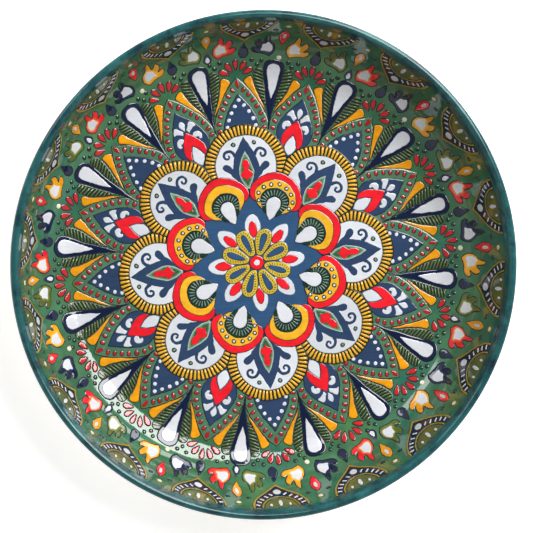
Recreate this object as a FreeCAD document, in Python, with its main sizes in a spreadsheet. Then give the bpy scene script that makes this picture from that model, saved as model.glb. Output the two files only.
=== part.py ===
"""Hand painted ceramic deep plate: a thrown clay dish on a foot ring, its glaze coats, and the enamel
fields of its painted pattern, each laid on the glaze as a piece of its own. Millimetres, +Z up, with
the origin at the middle of the foot ring's resting plane."""
import FreeCAD, Part
import math
import os

import Sketcher
from FreeCAD import Vector

DRIVING_SIZES = [
    ("plate_diameter", 205.0, "over the lip"),
    ("plate_height", 40.0, "foot to lip"),
    ("floor_top", 7.0, "glazed floor of the well above the table"),
    ("wall_thickness", 3.2, "through the wall, glaze included"),
    ("wall_slope", 71.5, "degrees from level"),
    ("corner_radius", 20.0, "floor to wall, on the glazed inside"),
    ("glaze_thickness", 0.3, "each glaze coat"),
    ("foot_outer_radius", 60.0, "foot ring"),
    ("foot_inner_radius", 52.0, "foot ring"),
    ("foot_round", 1.2, "edges of the foot ring"),
    ("foot_bare", 1.8, "unglazed strip at the bottom of the foot ring"),
    ("lip_band_inside", 3.0, "teal band down the inner wall, from where the lip's curve starts"),
    ("lip_band_outside", 5.0, "teal band down the outer wall, from where the lip's curve ends"),
    ("film_height", 0.15, "flat enamel in the middle of the pattern"),
    ("relief_height", 0.4, "raised enamel in the outer rings of the pattern"),
    ("mandala_angle", 6.3, "degrees from +X to the first medallion's axis"),
    ("border_angle", 14.0, "degrees from +X to the first lunette's axis"),
]

document = FreeCAD.newDocument("plate")
sheet = document.addObject("Spreadsheet::Sheet", "Sizes")
for row, (alias, number, note) in enumerate(DRIVING_SIZES, start=1):
    sheet.set("A%d" % row, alias)
    sheet.set("B%d" % row, str(number))
    sheet.set("C%d" % row, note)
    sheet.setAlias("B%d" % row, alias)
document.recompute()

# ---------------------------------------------------------------------------------------------
# The dish's section, as expressions on the sheet. "depth" is how far under the glazed surface
# a line of the section lies, so 0 is the surface and glaze_thickness is the clay.
# ---------------------------------------------------------------------------------------------
SLOPE = "Sizes.wall_slope"
LIP_RADIUS = "Sizes.wall_thickness / 2"
LIP_X = "(Sizes.plate_diameter / 2 - %s)" % LIP_RADIUS
LIP_Z = "(Sizes.plate_height - %s)" % LIP_RADIUS
CORNER_Z = "(Sizes.floor_top + Sizes.corner_radius)"
WALL_RUN = "((%s - %s + (%s + Sizes.corner_radius) * cos(%s)) / tan(%s))" % (
    LIP_Z, CORNER_Z, LIP_RADIUS, SLOPE, SLOPE)
CORNER_X = "(%s - (%s + Sizes.corner_radius) * sin(%s) - %s)" % (LIP_X, LIP_RADIUS, SLOPE, WALL_RUN)
UNDERSIDE = "(Sizes.floor_top - Sizes.wall_thickness)"
GLAZE = "Sizes.glaze_thickness"
FOOT_OUT = "Sizes.foot_outer_radius"
FOOT_IN = "Sizes.foot_inner_radius"
ROUND = "Sizes.foot_round"


def around(centre_x, centre_z, radius, side):
    """Tangent point of the wall on a circle: side 1 is under the wall's line, -1 is over it."""
    sign = "+" if side > 0 else "-"
    other = "-" if side > 0 else "+"
    return ("%s %s (%s) * sin(%s)" % (centre_x, sign, radius, SLOPE),
            "%s %s (%s) * cos(%s)" % (centre_z, other, radius, SLOPE))


def corner_radius(depth, outside):
    if outside:
        return "Sizes.corner_radius + Sizes.wall_thickness - (%s)" % depth
    return "Sizes.corner_radius + (%s)" % depth


def corner_end(depth, outside):
    return around(CORNER_X, CORNER_Z, corner_radius(depth, outside), 1)


def lip_radius(depth):
    return "%s - (%s)" % (LIP_RADIUS, depth)


def lip_end(depth, outside):
    return around(LIP_X, LIP_Z, lip_radius(depth), 1 if outside else -1)


def lip_crest(depth):
    return LIP_X, "%s + %s" % (LIP_Z, lip_radius(depth))


def down_the_wall(point, distance):
    return ("%s - %s * cos(%s)" % (point[0], distance, SLOPE),
            "%s - %s * sin(%s)" % (point[1], distance, SLOPE))


def measure(owner, expression):
    """The number that an expression on the sheet gives."""
    result = owner.evalExpression(expression)
    return float(getattr(result, "Value", result))


def arc_through(start, finish, radius, turn):
    """Sketch arc from start to finish, turn 1 anticlockwise and -1 clockwise, under half a circle
    unless the two points are a diameter apart."""
    chord = finish - start
    half = chord.Length / 2
    rise = math.sqrt(max(radius * radius - half * half, 0.0))
    left = Vector(-chord.y, chord.x, 0).normalize()
    centre = (start + finish) * 0.5 + left * rise * turn
    first, last = (start, finish) if turn > 0 else (finish, start)
    circle = Part.Circle(centre, Vector(0, 0, 1), radius)
    return Part.ArcOfCircle(circle, circle.parameter(first), circle.parameter(last))


def draw_profile(sketch, corners):
    """Closed outline in a sketch. A corner is (x, z, bend): bend is None for a straight edge to the
    next corner, or (radius, turn) for an arc. Every size is an expression that the sketch keeps."""
    spots = [Vector(measure(sketch, x), measure(sketch, z), 0) for x, z, _ in corners]
    ends = []
    for index, (_, _, bend) in enumerate(corners):
        start, finish = spots[index], spots[(index + 1) % len(spots)]
        if bend is None:
            edge = sketch.addGeometry(Part.LineSegment(start, finish), False)
            ends.append((edge, 1, 2))
            continue
        radius, turn = bend
        arc = arc_through(start, finish, measure(sketch, radius), turn)
        edge = sketch.addGeometry(arc, False)
        ends.append((edge, 1, 2) if turn > 0 else (edge, 2, 1))
        bound(sketch, Sketcher.Constraint("Radius", edge, measure(sketch, radius)), radius)
    for index, (edge, start, _) in enumerate(ends):
        before, _, finish = ends[index - 1]
        sketch.addConstraint(Sketcher.Constraint("Coincident", before, finish, edge, start))
        for axis, kind, text, value in ((-2, "DistanceX", corners[index][0], spots[index].x),
                                        (-1, "DistanceY", corners[index][1], spots[index].y)):
            if text == "0":
                sketch.addConstraint(Sketcher.Constraint("PointOnObject", edge, start, axis))
            else:
                bound(sketch, Sketcher.Constraint(kind, -1, 1, edge, start, value), text)


def bound(sketch, constraint, expression):
    index = sketch.addConstraint(constraint)
    sketch.setExpression("Constraints[%d]" % index, expression)


def turned_body(label, corners):
    """A piece of the dish: its section, turned all the way round the plate's axis."""
    body = document.addObject("PartDesign::Body", label)
    body.Label = label
    planes = {plane.Role: plane for plane in body.Origin.OriginFeatures}
    sketch = body.newObject("Sketcher::SketchObject", label + "_section")
    sketch.AttachmentSupport = [(planes["XZ_Plane"], "")]
    sketch.MapMode = "FlatFace"
    document.recompute()
    draw_profile(sketch, corners)
    turned = body.newObject("PartDesign::Revolution", label + "_turned")
    turned.Profile = sketch
    turned.ReferenceAxis = (sketch, ["V_Axis"])
    turned.Angle = 360
    body.Tip = turned
    return body


def corner(point, bend=None):
    return point[0], point[1], bend


LEFT, RIGHT = 1, -1
CLAY_UNDER = "%s + %s" % (UNDERSIDE, GLAZE)
CLAY_FLOOR = "Sizes.floor_top - %s" % GLAZE
INNER_BAND_EDGE = {depth: down_the_wall(lip_end(depth, False), "Sizes.lip_band_inside")
                   for depth in ("0", GLAZE)}
OUTER_BAND_EDGE = {depth: down_the_wall(lip_end(depth, True), "Sizes.lip_band_outside")
                   for depth in ("0", GLAZE)}

clay_dish = turned_body("clay_dish", [
    ("0", CLAY_UNDER, None),
    (FOOT_IN, CLAY_UNDER, None),
    (FOOT_IN, ROUND, (ROUND, LEFT)),
    ("%s + %s" % (FOOT_IN, ROUND), "0", None),
    ("%s - %s" % (FOOT_OUT, ROUND), "0", (ROUND, LEFT)),
    (FOOT_OUT, ROUND, None),
    (FOOT_OUT, CLAY_UNDER, None),
    (CORNER_X, CLAY_UNDER, (corner_radius(GLAZE, True), LEFT)),
    corner(corner_end(GLAZE, True)),
    corner(lip_end(GLAZE, True), (lip_radius(GLAZE), LEFT)),
    corner(lip_crest(GLAZE), (lip_radius(GLAZE), LEFT)),
    corner(lip_end(GLAZE, False)),
    corner(corner_end(GLAZE, False), (corner_radius(GLAZE, False), RIGHT)),
    (CORNER_X, CLAY_FLOOR, None),
    ("0", CLAY_FLOOR, None),
])

ground_glaze = turned_body("ground_glaze", [
    ("0", CLAY_FLOOR, None),
    (CORNER_X, CLAY_FLOOR, (corner_radius(GLAZE, False), LEFT)),
    corner(corner_end(GLAZE, False)),
    corner(INNER_BAND_EDGE[GLAZE]),
    corner(INNER_BAND_EDGE["0"]),
    corner(corner_end("0", False), (corner_radius("0", False), RIGHT)),
    (CORNER_X, "Sizes.floor_top", None),
    ("0", "Sizes.floor_top", None),
])

lip_band = turned_body("lip_band", [
    corner(OUTER_BAND_EDGE["0"]),
    corner(lip_end("0", True), (lip_radius("0"), LEFT)),
    corner(lip_crest("0"), (lip_radius("0"), LEFT)),
    corner(lip_end("0", False)),
    corner(INNER_BAND_EDGE["0"]),
    corner(INNER_BAND_EDGE[GLAZE]),
    corner(lip_end(GLAZE, False), (lip_radius(GLAZE), RIGHT)),
    corner(lip_crest(GLAZE), (lip_radius(GLAZE), RIGHT)),
    corner(lip_end(GLAZE, True)),
    corner(OUTER_BAND_EDGE[GLAZE]),
])

outer_glaze = turned_body("outer_glaze", [
    (FOOT_OUT, "Sizes.foot_bare", None),
    ("%s + %s" % (FOOT_OUT, GLAZE), "Sizes.foot_bare", None),
    ("%s + %s" % (FOOT_OUT, GLAZE), UNDERSIDE, None),
    (CORNER_X, UNDERSIDE, (corner_radius("0", True), LEFT)),
    corner(corner_end("0", True)),
    corner(OUTER_BAND_EDGE["0"]),
    corner(OUTER_BAND_EDGE[GLAZE]),
    corner(corner_end(GLAZE, True), (corner_radius(GLAZE, True), RIGHT)),
    (CORNER_X, CLAY_UNDER, None),
    (FOOT_OUT, CLAY_UNDER, None),
])

foot_well_glaze = turned_body("foot_well_glaze", [
    ("0", UNDERSIDE, None),
    (FOOT_IN, UNDERSIDE, None),
    (FOOT_IN, CLAY_UNDER, None),
    ("0", CLAY_UNDER, None),
])
document.recompute()


# ---------------------------------------------------------------------------------------------
# The glazed inside surface in numbers. A point of the pattern is (x, y): its distance from the
# pattern's middle is the length along the surface from the middle of the floor, and its direction
# is the direction round the plate. An outline is drawn about the +Y axis and turned to its place.
# ---------------------------------------------------------------------------------------------
def size(expression):
    return measure(clay_dish, expression)


SLOPE_ANGLE = math.radians(size(SLOPE))
CORNER = size("Sizes.corner_radius")
FLOOR_EDGE = size(CORNER_X)
FLOOR_TOP = size("Sizes.floor_top")
FILM = size("Sizes.film_height")
RELIEF = size("Sizes.relief_height")
CORNER_ARC = CORNER * SLOPE_ANGLE
BAND_EDGE_RADIUS = size(INNER_BAND_EDGE["0"][0])
BAND_EDGE_ARC = FLOOR_EDGE + CORNER_ARC + (
    BAND_EDGE_RADIUS - FLOOR_EDGE - CORNER * math.sin(SLOPE_ANGLE)) / math.cos(SLOPE_ANGLE)
UP = Vector(0, 0, 1)


def section(arc, lift=0.0):
    """Radius, height and slope at a length along the glazed section, lift above the glaze."""
    slope = min(max((arc - FLOOR_EDGE) / CORNER, 0.0), SLOPE_ANGLE)
    straight = max(arc - FLOOR_EDGE - CORNER_ARC, 0.0)
    radius = min(arc, FLOOR_EDGE) + CORNER * math.sin(slope) + straight * math.cos(slope)
    height = FLOOR_TOP + CORNER * (1 - math.cos(slope)) + straight * math.sin(slope)
    return radius - lift * math.sin(slope), height + lift * math.cos(slope), slope


def on_surface(x, y):
    """The surface point of a pattern point."""
    radius, height, _ = section(math.hypot(x, y))
    angle = math.atan2(y, x)
    return Vector(radius * math.cos(angle), radius * math.sin(angle), height)


def enamel_shell(height, first_arc, spread):
    """The layer on the glaze that an enamel fills, spread degrees either side of the +Y axis."""
    bends = (FLOOR_EDGE, FLOOR_EDGE + CORNER_ARC / 2, FLOOR_EDGE + CORNER_ARC)

    def spot(arc, lift):
        radius, level, _ = section(arc, lift)
        return Vector(radius, 0, level)

    edges = []
    for lift in (0.0, height):
        edges.append(Part.LineSegment(spot(first_arc, lift), spot(bends[0], lift)).toShape())
        edges.append(Part.Arc(spot(bends[0], lift), spot(bends[1], lift), spot(bends[2], lift)).toShape())
        edges.append(Part.LineSegment(spot(bends[2], lift), spot(BAND_EDGE_ARC, lift)).toShape())
    edges.append(Part.LineSegment(spot(first_arc, 0.0), spot(first_arc, height)).toShape())
    edges.append(Part.LineSegment(spot(BAND_EDGE_ARC, 0.0), spot(BAND_EDGE_ARC, height)).toShape())
    face = Part.Face(Part.Wire(Part.__sortEdges__(edges)))
    shell = face.revolve(Vector(0, 0, 0), UP, 2 * spread)
    shell.rotate(Vector(0, 0, 0), UP, 90 - spread)
    return shell


# An outline is a closed loop of pattern points, smooth through each point but those marked SHARP.
SHARP = True


def mirrored(half):
    """Outline that is the same either side of x = 0, from its right half, bottom to top."""
    left = [(-point[0],) + tuple(point[1:]) for point in reversed(half[1:-1])]
    return list(half) + left


def flipped(outline):
    return [(-point[0],) + tuple(point[1:]) for point in reversed(outline)]


def moved(outline, x=0.0, y=0.0, degrees=0.0):
    """Outline turned about the pattern's middle, anticlockwise, and then shifted."""
    turn = math.radians(degrees)
    result = []
    for point in outline:
        across = point[0] * math.cos(turn) - point[1] * math.sin(turn) + x
        along = point[0] * math.sin(turn) + point[1] * math.cos(turn) + y
        result.append((across, along) + tuple(point[2:]))
    return result


def oval(x, y, across, along, degrees=0.0, corners=8):
    """Smooth oval about (x, y) with the given half widths."""
    ring = []
    for step in range(corners):
        angle = 2 * math.pi * step / corners
        ring.append((across * math.cos(angle), along * math.sin(angle)))
    return moved(ring, x, y, degrees)


def stroke(path, width, end_width=None):
    """Outline of a brush stroke along a path, its ends round, narrowing to end_width."""
    end_width = width if end_width is None else end_width
    left, right = [], []
    last = len(path) - 1
    for index, (x, y) in enumerate(path):
        ahead = path[min(index + 1, last)]
        behind = path[max(index - 1, 0)]
        run = Vector(ahead[0] - behind[0], ahead[1] - behind[1], 0).normalize()
        half = (width + (end_width - width) * index / last) / 2
        left.append((x - run.y * half, y + run.x * half))
        right.append((x + run.y * half, y - run.x * half))
    return left + list(reversed(right))


class Plane:
    """Level with the surface at one pattern point; outlines are laid on it along its normal."""

    def __init__(self, x, y):
        radius, _, slope = section(math.hypot(x, y))
        angle = math.atan2(y, x)
        self.origin = on_surface(x, y)
        self.normal = Vector(-math.sin(slope) * math.cos(angle), -math.sin(slope) * math.sin(angle),
                             math.cos(slope))

    def drop(self, point):
        foot = on_surface(point[0], point[1])
        return foot - self.normal * (foot - self.origin).dot(self.normal)


def spline_edge(points):
    if len(points) == 2:
        return Part.LineSegment(points[0], points[1]).toShape()
    curve = Part.BSplineCurve()
    curve.interpolate(points)
    return curve.toShape()


def outline_face(outline, plane):
    """Flat face of an outline on a plane."""
    spots = [plane.drop(point) for point in outline]
    sharp = [index for index, point in enumerate(outline) if len(point) > 2]
    if not sharp:
        curve = Part.BSplineCurve()
        curve.interpolate(spots, PeriodicFlag=True)
        return Part.Face(Part.Wire([curve.toShape()]))
    edges = []
    for place, first in enumerate(sharp):
        last = sharp[(place + 1) % len(sharp)]
        if last <= first:
            last += len(spots)
        run = [spots[index % len(spots)] for index in range(first, last + 1)]
        edges.append(spline_edge(run))
    return Part.Face(Part.Wire(edges))


LEVEL = Plane(0.0, 40.0)
REACH = 4.0
SLIVER = 0.25


def flat_face(outline, cut=()):
    """Face on the well's floor, less the faces in cut."""
    face = outline_face(outline, LEVEL)
    for other in cut:
        face = face.cut(other)
    return face


def film(face):
    """Flat enamel on a face of the well's floor, without the slivers that cutting leaves."""
    return [piece.extrude(UP * FILM) for piece in face.Faces if piece.Area > SLIVER]


def relief(outline, centre, cut=()):
    """Raised enamel on the curved surface, from an outline less the outlines in cut. Enamels that
    meet share a centre, so that their edges meet too."""
    plane = Plane(*centre)
    face = outline_face(outline, plane)
    for other in cut:
        face = face.cut(outline_face(other, plane))
    solids = []
    for piece in face.Faces:
        piece.translate(plane.normal * -REACH)
        prism = piece.extrude(plane.normal * (2 * REACH))
        solids += prism.common(RELIEF_SHELL).Solids
    return solids


RELIEF_FROM = 45.0
RELIEF_SPREAD = 24.0
RELIEF_SHELL = enamel_shell(RELIEF, RELIEF_FROM, RELIEF_SPREAD)


def repeated(solids, first_angle, count, step=None):
    """Copies of solids drawn about +Y, turned to first_angle and every step degrees from there."""
    step = 360.0 / count if step is None else step
    copies = []
    for index in range(count):
        for solid in solids:
            copy = solid.copy()
            copy.rotate(Vector(0, 0, 0), UP, first_angle - 90.0 + index * step)
            copies.append(copy)
    return copies


enamels = []


def enamel(label, solids):
    """One named piece of the pattern: a group of separate solids."""
    piece = document.addObject("Part::Feature", label)
    piece.Label = label
    piece.Shape = Part.makeCompound(solids)
    enamels.append(piece)
    return piece


HALF_STEP = 22.5
QUARTER_STEP = 11.25
MANDALA = size("Sizes.mandala_angle")
BETWEEN = MANDALA + HALF_STEP
TEARDROPS = MANDALA + QUARTER_STEP
BORDER = size("Sizes.border_angle")
LUNETTE_COUNT = 18
GAP_COUNT = 9
GAP_STEP = 40.0
RED_GAP = BORDER - GAP_STEP / 4
YELLOW_GAP = BORDER + GAP_STEP / 4
LINE = 0.3
FLOOR_MARGIN = 0.2

# --- Flower in the middle ---------------------------------------------------------------------
BOSS_RADIUS = 2.85
SPOT_RADIUS = 1.15
LOOP = mirrored([(0, 3.2, SHARP), (1.2, 3.85), (2.05, 5.7), (2.7, 7.5), (3.2, 9.65), (3.05, 11.7),
                 (2.3, 13.4), (1.2, 14.2), (0, 14.45)])
LOOP_EYE = mirrored([(0, 5.0), (0.6, 5.7), (0.95, 7.6), (1.25, 9.8), (1.1, 11.6), (0.6, 12.5), (0, 12.75)])
PETAL = mirrored([(0, 9.2, SHARP), (0.9, 10.6), (2.2, 12.2), (3.0, 13.4), (3.2, 14.8), (2.95, 16.6),
                  (2.3, 18.2), (1.25, 19.6), (0, 20.1)])
PETAL_OVAL = mirrored([(0, 10.6), (1.0, 11.5), (1.6, 13.0), (1.65, 14.3), (1.25, 15.9), (0.7, 16.8),
                       (0, 17.15)])
STAR_RADIUS = 26.5

# --- Crescents round the flower ---------------------------------------------------------------
CRESCENT_RED = mirrored([(0, 26.0, SHARP), (8.2, 24.55, SHARP), (9.6, 25.2), (10.6, 26.3), (11.0, 27.8),
                         (10.9, 29.4), (9.9, 32.0), (7.6, 35.0), (4.0, 37.4), (0, 38.3)])
CRESCENT_YELLOW = mirrored([(0, 24.0, SHARP), (4.3, 22.15, SHARP), (5.8, 23.1), (7.3, 24.4), (8.3, 26.2),
                            (8.7, 28.0), (8.2, 29.9), (6.8, 32.0), (4.0, 34.3), (0, 35.4)])
HALF_DISC = mirrored([(0, 20.2, SHARP), (2.4, 20.6, SHARP), (3.4, 21.3), (4.7, 23.4), (5.6, 25.4),
                      (5.95, 27.3), (5.0, 29.6), (3.0, 31.2), (0, 32.0)])
CRESCENT_DROP = mirrored([(0, 18.2, SHARP), (0.8, 19.0), (1.65, 20.2), (2.2, 22.0), (2.65, 23.4),
                          (2.95, 24.8), (2.55, 26.5), (1.5, 27.6), (0, 28.05)])
CRESCENT_DOTS = [(0, 33.7), (3.3, 32.7), (5.85, 30.8), (7.3, 27.9), (6.5, 25.1)]

# --- Medallions -------------------------------------------------------------------------------
MEDALLION_MIDDLE = 40.2
MEDALLION_START = 31.0
RING_OUTER, RING_INNER, FIELD_RADIUS = 17.0, 12.75, 12.45
OGIVE = mirrored([(0, 30.6, SHARP), (3.0, 33.4), (5.9, 36.0), (6.7, 37.2), (8.0, 38.1), (9.2, 38.9),
                  (9.8, 39.9), (9.5, 40.9), (8.6, 41.4), (7.6, 41.3), (6.6, 40.6), (5.6, 39.3, SHARP),
                  (5.1, 41.5), (4.6, 43.5), (3.8, 45.5), (2.6, 47.7), (1.2, 50.4), (0, 52.5, SHARP)])
SCROLL = [(3.9, 44.5), (4.6, 45.8), (5.7, 46.7), (7.1, 46.8), (8.3, 46.1), (8.7, 44.9), (8.1, 43.8),
          (7.0, 43.6), (6.5, 44.4), (6.9, 45.1)]
SCROLL_WIDTH, SCROLL_END = 1.2, 0.8
ALMOND = mirrored([(0, 30.7, SHARP), (1.2, 32.0), (2.2, 33.8), (2.85, 35.6), (3.15, 37.5), (2.9, 39.2),
                   (2.2, 41.5), (1.2, 44.0), (0, 46.2, SHARP)])
FLEUR = mirrored([(0, 33.2, SHARP), (0.35, 34.6, SHARP), (0.9, 35.1), (1.8, 35.5), (2.5, 36.3),
                  (2.45, 37.2), (1.8, 37.9), (1.15, 38.6), (1.3, 39.5), (1.4, 40.5), (1.25, 41.6),
                  (0.75, 42.5), (0, 42.85)])
MEDALLION_DOT = (4.3, 49.4)

# --- Leaves and their ribbons -----------------------------------------------------------------
LEAF = mirrored([(0, 45.3, SHARP), (2.6, 47.4), (4.5, 49.6), (6.3, 52.1), (7.1, 54.3), (7.2, 56.6),
                 (6.7, 58.7), (5.9, 60.8), (4.9, 62.9), (3.7, 64.9), (2.4, 66.7), (1.15, 68.4),
                 (0, 70.1, SHARP)])
RIBBON = mirrored([(0, 45.3, SHARP), (9.0, 47.5, SHARP), (10.8, 52.0), (11.1, 56.0), (10.4, 60.0),
                   (9.3, 63.0), (7.9, 66.0), (6.1, 69.1), (4.2, 71.9), (2.1, 74.4), (0, 76.4, SHARP)])
SEEDS = [(2.2, 71.5, 44), (4.1, 69.3, 42), (5.7, 66.7, 38), (7.1, 64.2, 33), (8.4, 61.3, 26),
         (9.1, 58.2, 14), (9.1, 55.2, 5)]
SEED_LONG, SEED_WIDE = 0.95, 0.6
DOT_RADIUS = {"crescent": 0.8, "medallion": 0.95, "leaf": 0.85}
LEAF_DOTS = [(0, 67.4), (1.85, 65.0), (3.65, 62.3), (5.1, 59.4), (5.9, 56.5)]
CHEVRON = mirrored([(0, 55.1, SHARP), (1.2, 53.4), (2.1, 51.8), (2.7, 50.2), (3.15, 49.3, SHARP),
                    (4.0, 50.3), (4.5, 51.7), (4.5, 53.3), (4.0, 55.0), (2.9, 57.1), (1.5, 59.2),
                    (0, 61.0, SHARP)])
DIAMOND = mirrored([(0, 45.9, SHARP), (1.4, 47.3), (2.4, 49.2), (2.0, 51.0), (1.15, 52.9), (0, 54.5, SHARP)])
LEAF_PETAL = mirrored([(0, 61.5, SHARP), (0.5, 62.4), (1.2, 64.0), (0.85, 65.2), (0, 66.0, SHARP)])
SIDE_PETAL = [(0.75, 61.7, SHARP), (1.6, 62.6), (2.6, 64.0), (3.4, 64.4), (4.2, 63.6), (4.9, 62.3),
              (4.9, 61.7, SHARP), (3.7, 61.7), (2.5, 61.0), (1.4, 60.2, SHARP)]
CURL = [(2.1, 58.6), (2.7, 59.5), (3.9, 59.8), (5.1, 59.1), (5.7, 57.7), (5.3, 56.5), (4.6, 56.1),
        (3.95, 56.4), (4.2, 57.0), (3.9, 57.5), (3.3, 57.5), (2.7, 57.8)]

# --- Teardrops, combs and flames --------------------------------------------------------------
TEARDROP = mirrored([(0, 67.5, SHARP), (0.8, 70.0), (1.4, 72.0), (2.0, 75.0), (2.55, 77.5), (2.85, 79.6),
                     (2.4, 81.4), (1.3, 82.3), (0, 82.6)])
SURROUND = mirrored([(0, 54.9, SHARP), (0.6, 61.0, SHARP), (1.2, 64.0), (1.9, 68.0), (2.6, 72.0),
                     (3.5, 76.0), (4.3, 80.2), (3.8, 82.4), (2.2, 83.7), (0, 84.0)])
COMB = [(1.75, 64.9, SHARP), (3.1, 66.4), (4.5, 68.7), (6.0, 71.4), (7.1, 74.0), (7.9, 76.6), (8.1, 78.3),
        (7.4, 79.5), (6.0, 80.0), (4.75, 79.8, SHARP), (3.85, 76.0), (2.95, 72.0), (2.25, 68.0)]
FLAME = [(1.5, 62.4, SHARP), (2.9, 65.1), (4.5, 67.6), (6.3, 70.7), (7.5, 73.3), (8.3, 75.6), (9.1, 76.3),
         (10.1, 76.1), (11.3, 75.1), (11.8, 73.9, SHARP), (9.9, 71.9), (8.1, 70.1), (6.4, 68.1), (4.1, 65.5)]
TEARDROP_MIDDLE = (0, 76.0)
FAN_PETAL = mirrored([(0, -2.5, SHARP), (0.75, -1.0), (1.2, 0.8), (0.85, 2.1), (0, 2.6)])
FAN_HUB = mirrored([(0, 71.9, SHARP), (0.75, 73.6), (0.6, 75.0), (0, 75.6)])
FAN_MIDDLE, FAN_REACH = 76.6, 5.3
FAN_ANGLES = (-64, -33, 0, 33, 64)
BEADS = [(5.6, 83.2), (9.7, 83.1), (7.2, 81.3)]
BEAD_RADIUS = 0.7

# --- Border of lunettes and tulips ------------------------------------------------------------
LUNETTE_EDGE = mirrored([(0, 95.4, SHARP), (4.7, 100.3), (8.3, 104.3), (10.7, 107.8), (12.1, 111.2),
                         (12.6, 114.2, SHARP), (13.6, 114.2, SHARP), (13.1, 111.0), (11.6, 107.5),
                         (9.1, 103.9), (5.2, 99.5), (0, 94.0, SHARP)])
LUNETTE_NAVY = mirrored([(0, 104.0), (2.8, 104.6), (5.8, 106.5), (8.7, 110.8), (9.6, 114.3, SHARP),
                         (12.3, 114.3, SHARP), (11.8, 111.3), (10.4, 108.0), (8.0, 104.6), (4.4, 100.6),
                         (0, 95.9, SHARP)])
LUNETTE_ARC = [(0, 104.9), (2.6, 105.5), (5.2, 107.2), (7.9, 111.0), (8.9, 114.1)]
LUNETTE_FIELD = mirrored([(0, 105.7), (2.2, 106.2), (4.6, 107.9), (7.0, 111.3), (7.9, 114.3, SHARP),
                          (0, 114.6)])
LUNETTE_OVALS = [(0, 100.4, 1.8, 2.2), (0, 110.9, 0.95, 2.8), (4.4, 112.3, 0.7, 1.2),
                 (-4.4, 112.3, 0.7, 1.2)]
FINIAL = mirrored([(0, 85.1), (1.3, 85.7), (1.9, 87.2), (1.4, 89.0), (0.7, 90.7), (0, 92.6, SHARP)])
LUNETTE_ARC_WIDTH = 0.8
LUNETTE_MIDDLE = (0, 107.0)
TULIP_MIDDLE = (-8.5, 91.0)
TULIP = [(-10.9, 85.2, SHARP), (-12.3, 86.5), (-13.0, 88.2), (-13.0, 90.0), (-12.3, 91.7), (-11.4, 93.1),
         (-11.0, 95.0), (-11.0, 97.0), (-10.8, 99.1, SHARP), (-9.9, 98.0), (-9.3, 96.4), (-9.0, 94.8),
         (-8.8, 93.5), (-8.2, 92.6, SHARP), (-7.5, 93.3), (-6.9, 94.6), (-6.2, 95.1), (-5.4, 94.3),
         (-5.0, 93.0), (-5.3, 91.5), (-5.9, 90.4), (-6.1, 89.6, SHARP), (-5.2, 89.8), (-4.5, 90.3),
         (-3.6, 90.0, SHARP), (-3.5, 89.0), (-4.1, 87.9), (-5.3, 87.1), (-7.0, 86.8), (-9.0, 86.2)]
TULIP_HEART = [(-12.0, 88.0), (-12.1, 90.1), (-11.3, 92.0), (-10.4, 93.0), (-9.4, 92.1), (-8.1, 91.5),
               (-7.7, 89.6), (-7.2, 88.4), (-9.0, 87.8), (-10.9, 87.2)]
DROP = mirrored([(0, 92.2, SHARP), (0.9, 94.4), (1.8, 97.1), (2.1, 99.7), (1.7, 102.2), (0.9, 104.0),
                 (0, 104.7)])
SMALL_DROP = mirrored([(0, 84.8), (0.7, 85.3), (0.9, 86.2), (0.6, 87.2), (0, 87.9)])
SMALL_SURROUND = mirrored([(0, 84.1), (1.2, 84.7), (1.65, 86.2), (1.2, 87.8), (0, 89.8, SHARP)])
GAP_DOT = (85.4, 1.0)
CREAM_DOT = (110.0, 1.2)
GAP_BEADS = (105.0, 0.8, 2.6)


def both_sides(outline, degrees):
    """Faces of an outline turned either way."""
    return [flat_face(moved(outline, degrees=lean)) for lean in (-degrees, degrees)]


def pairs(spots):
    """Spots on both sides of +Y, from those on the right."""
    return [(side * x, y) for x, y in spots for side in (1, -1) if x or side > 0]


def dots(spots, radius):
    return [flat_face(oval(x, y, radius, radius)) for x, y in spots]


def films(faces):
    return [solid for face in faces for solid in film(face)]


def wedge(half_angle, inset, length=90.0):
    """Slice of the floor about +Y, its sides moved in by inset."""
    lean = math.radians(half_angle)
    tip = inset / math.sin(lean)
    side = length * math.tan(lean) - inset / math.cos(lean)
    return flat_face([(0, tip, SHARP), (side, length * 0.8, SHARP), (-side, length * 0.8, SHARP)])


# --- Flower -----------------------------------------------------------------------------------
boss = flat_face(oval(0, 0, BOSS_RADIUS, BOSS_RADIUS))
spot = flat_face(oval(0, 0, SPOT_RADIUS, SPOT_RADIUS))
loops = both_sides(LOOP, HALF_STEP)
loop_eye = flat_face(LOOP_EYE)
petal_oval = flat_face(PETAL_OVAL)
enamel("centre_boss", film(boss.cut(spot)))
enamel("centre_spot", film(spot))
enamel("loop_petals", repeated(film(flat_face(LOOP, [loop_eye])), BETWEEN, 8))
enamel("loop_eyes", repeated(film(loop_eye), BETWEEN, 8))
enamel("white_petals", repeated(film(flat_face(PETAL, loops + [petal_oval])), MANDALA, 8))
enamel("petal_ovals", repeated(film(flat_face(PETAL_OVAL, loops)), MANDALA, 8))

# --- Crescents --------------------------------------------------------------------------------
crescent = flat_face(CRESCENT_RED)
yellow_crescent = flat_face(CRESCENT_YELLOW)
half_disc = flat_face(HALF_DISC)
crescent_drop = flat_face(CRESCENT_DROP)
yellow = yellow_crescent.cut(half_disc).cut(crescent_drop)
crescent_dots = dots(pairs(CRESCENT_DOTS), DOT_RADIUS["crescent"])
red = crescent.cut([yellow_crescent] + both_sides(CRESCENT_RED, 2 * HALF_STEP))
enamel("crescents_red", repeated(film(red), BETWEEN, 8))
enamel("crescents_yellow", repeated(film(yellow), BETWEEN, 4))
enamel("crescents_dotted", repeated(film(yellow.cut(crescent_dots)), BETWEEN + 2 * HALF_STEP, 4))
enamel("crescent_dots", repeated(films(crescent_dots), BETWEEN + 2 * HALF_STEP, 4))
enamel("crescent_hearts", repeated(film(half_disc.cut(crescent_drop)), BETWEEN, 8))
enamel("crescent_drops", repeated(film(crescent_drop), BETWEEN, 8))

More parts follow.
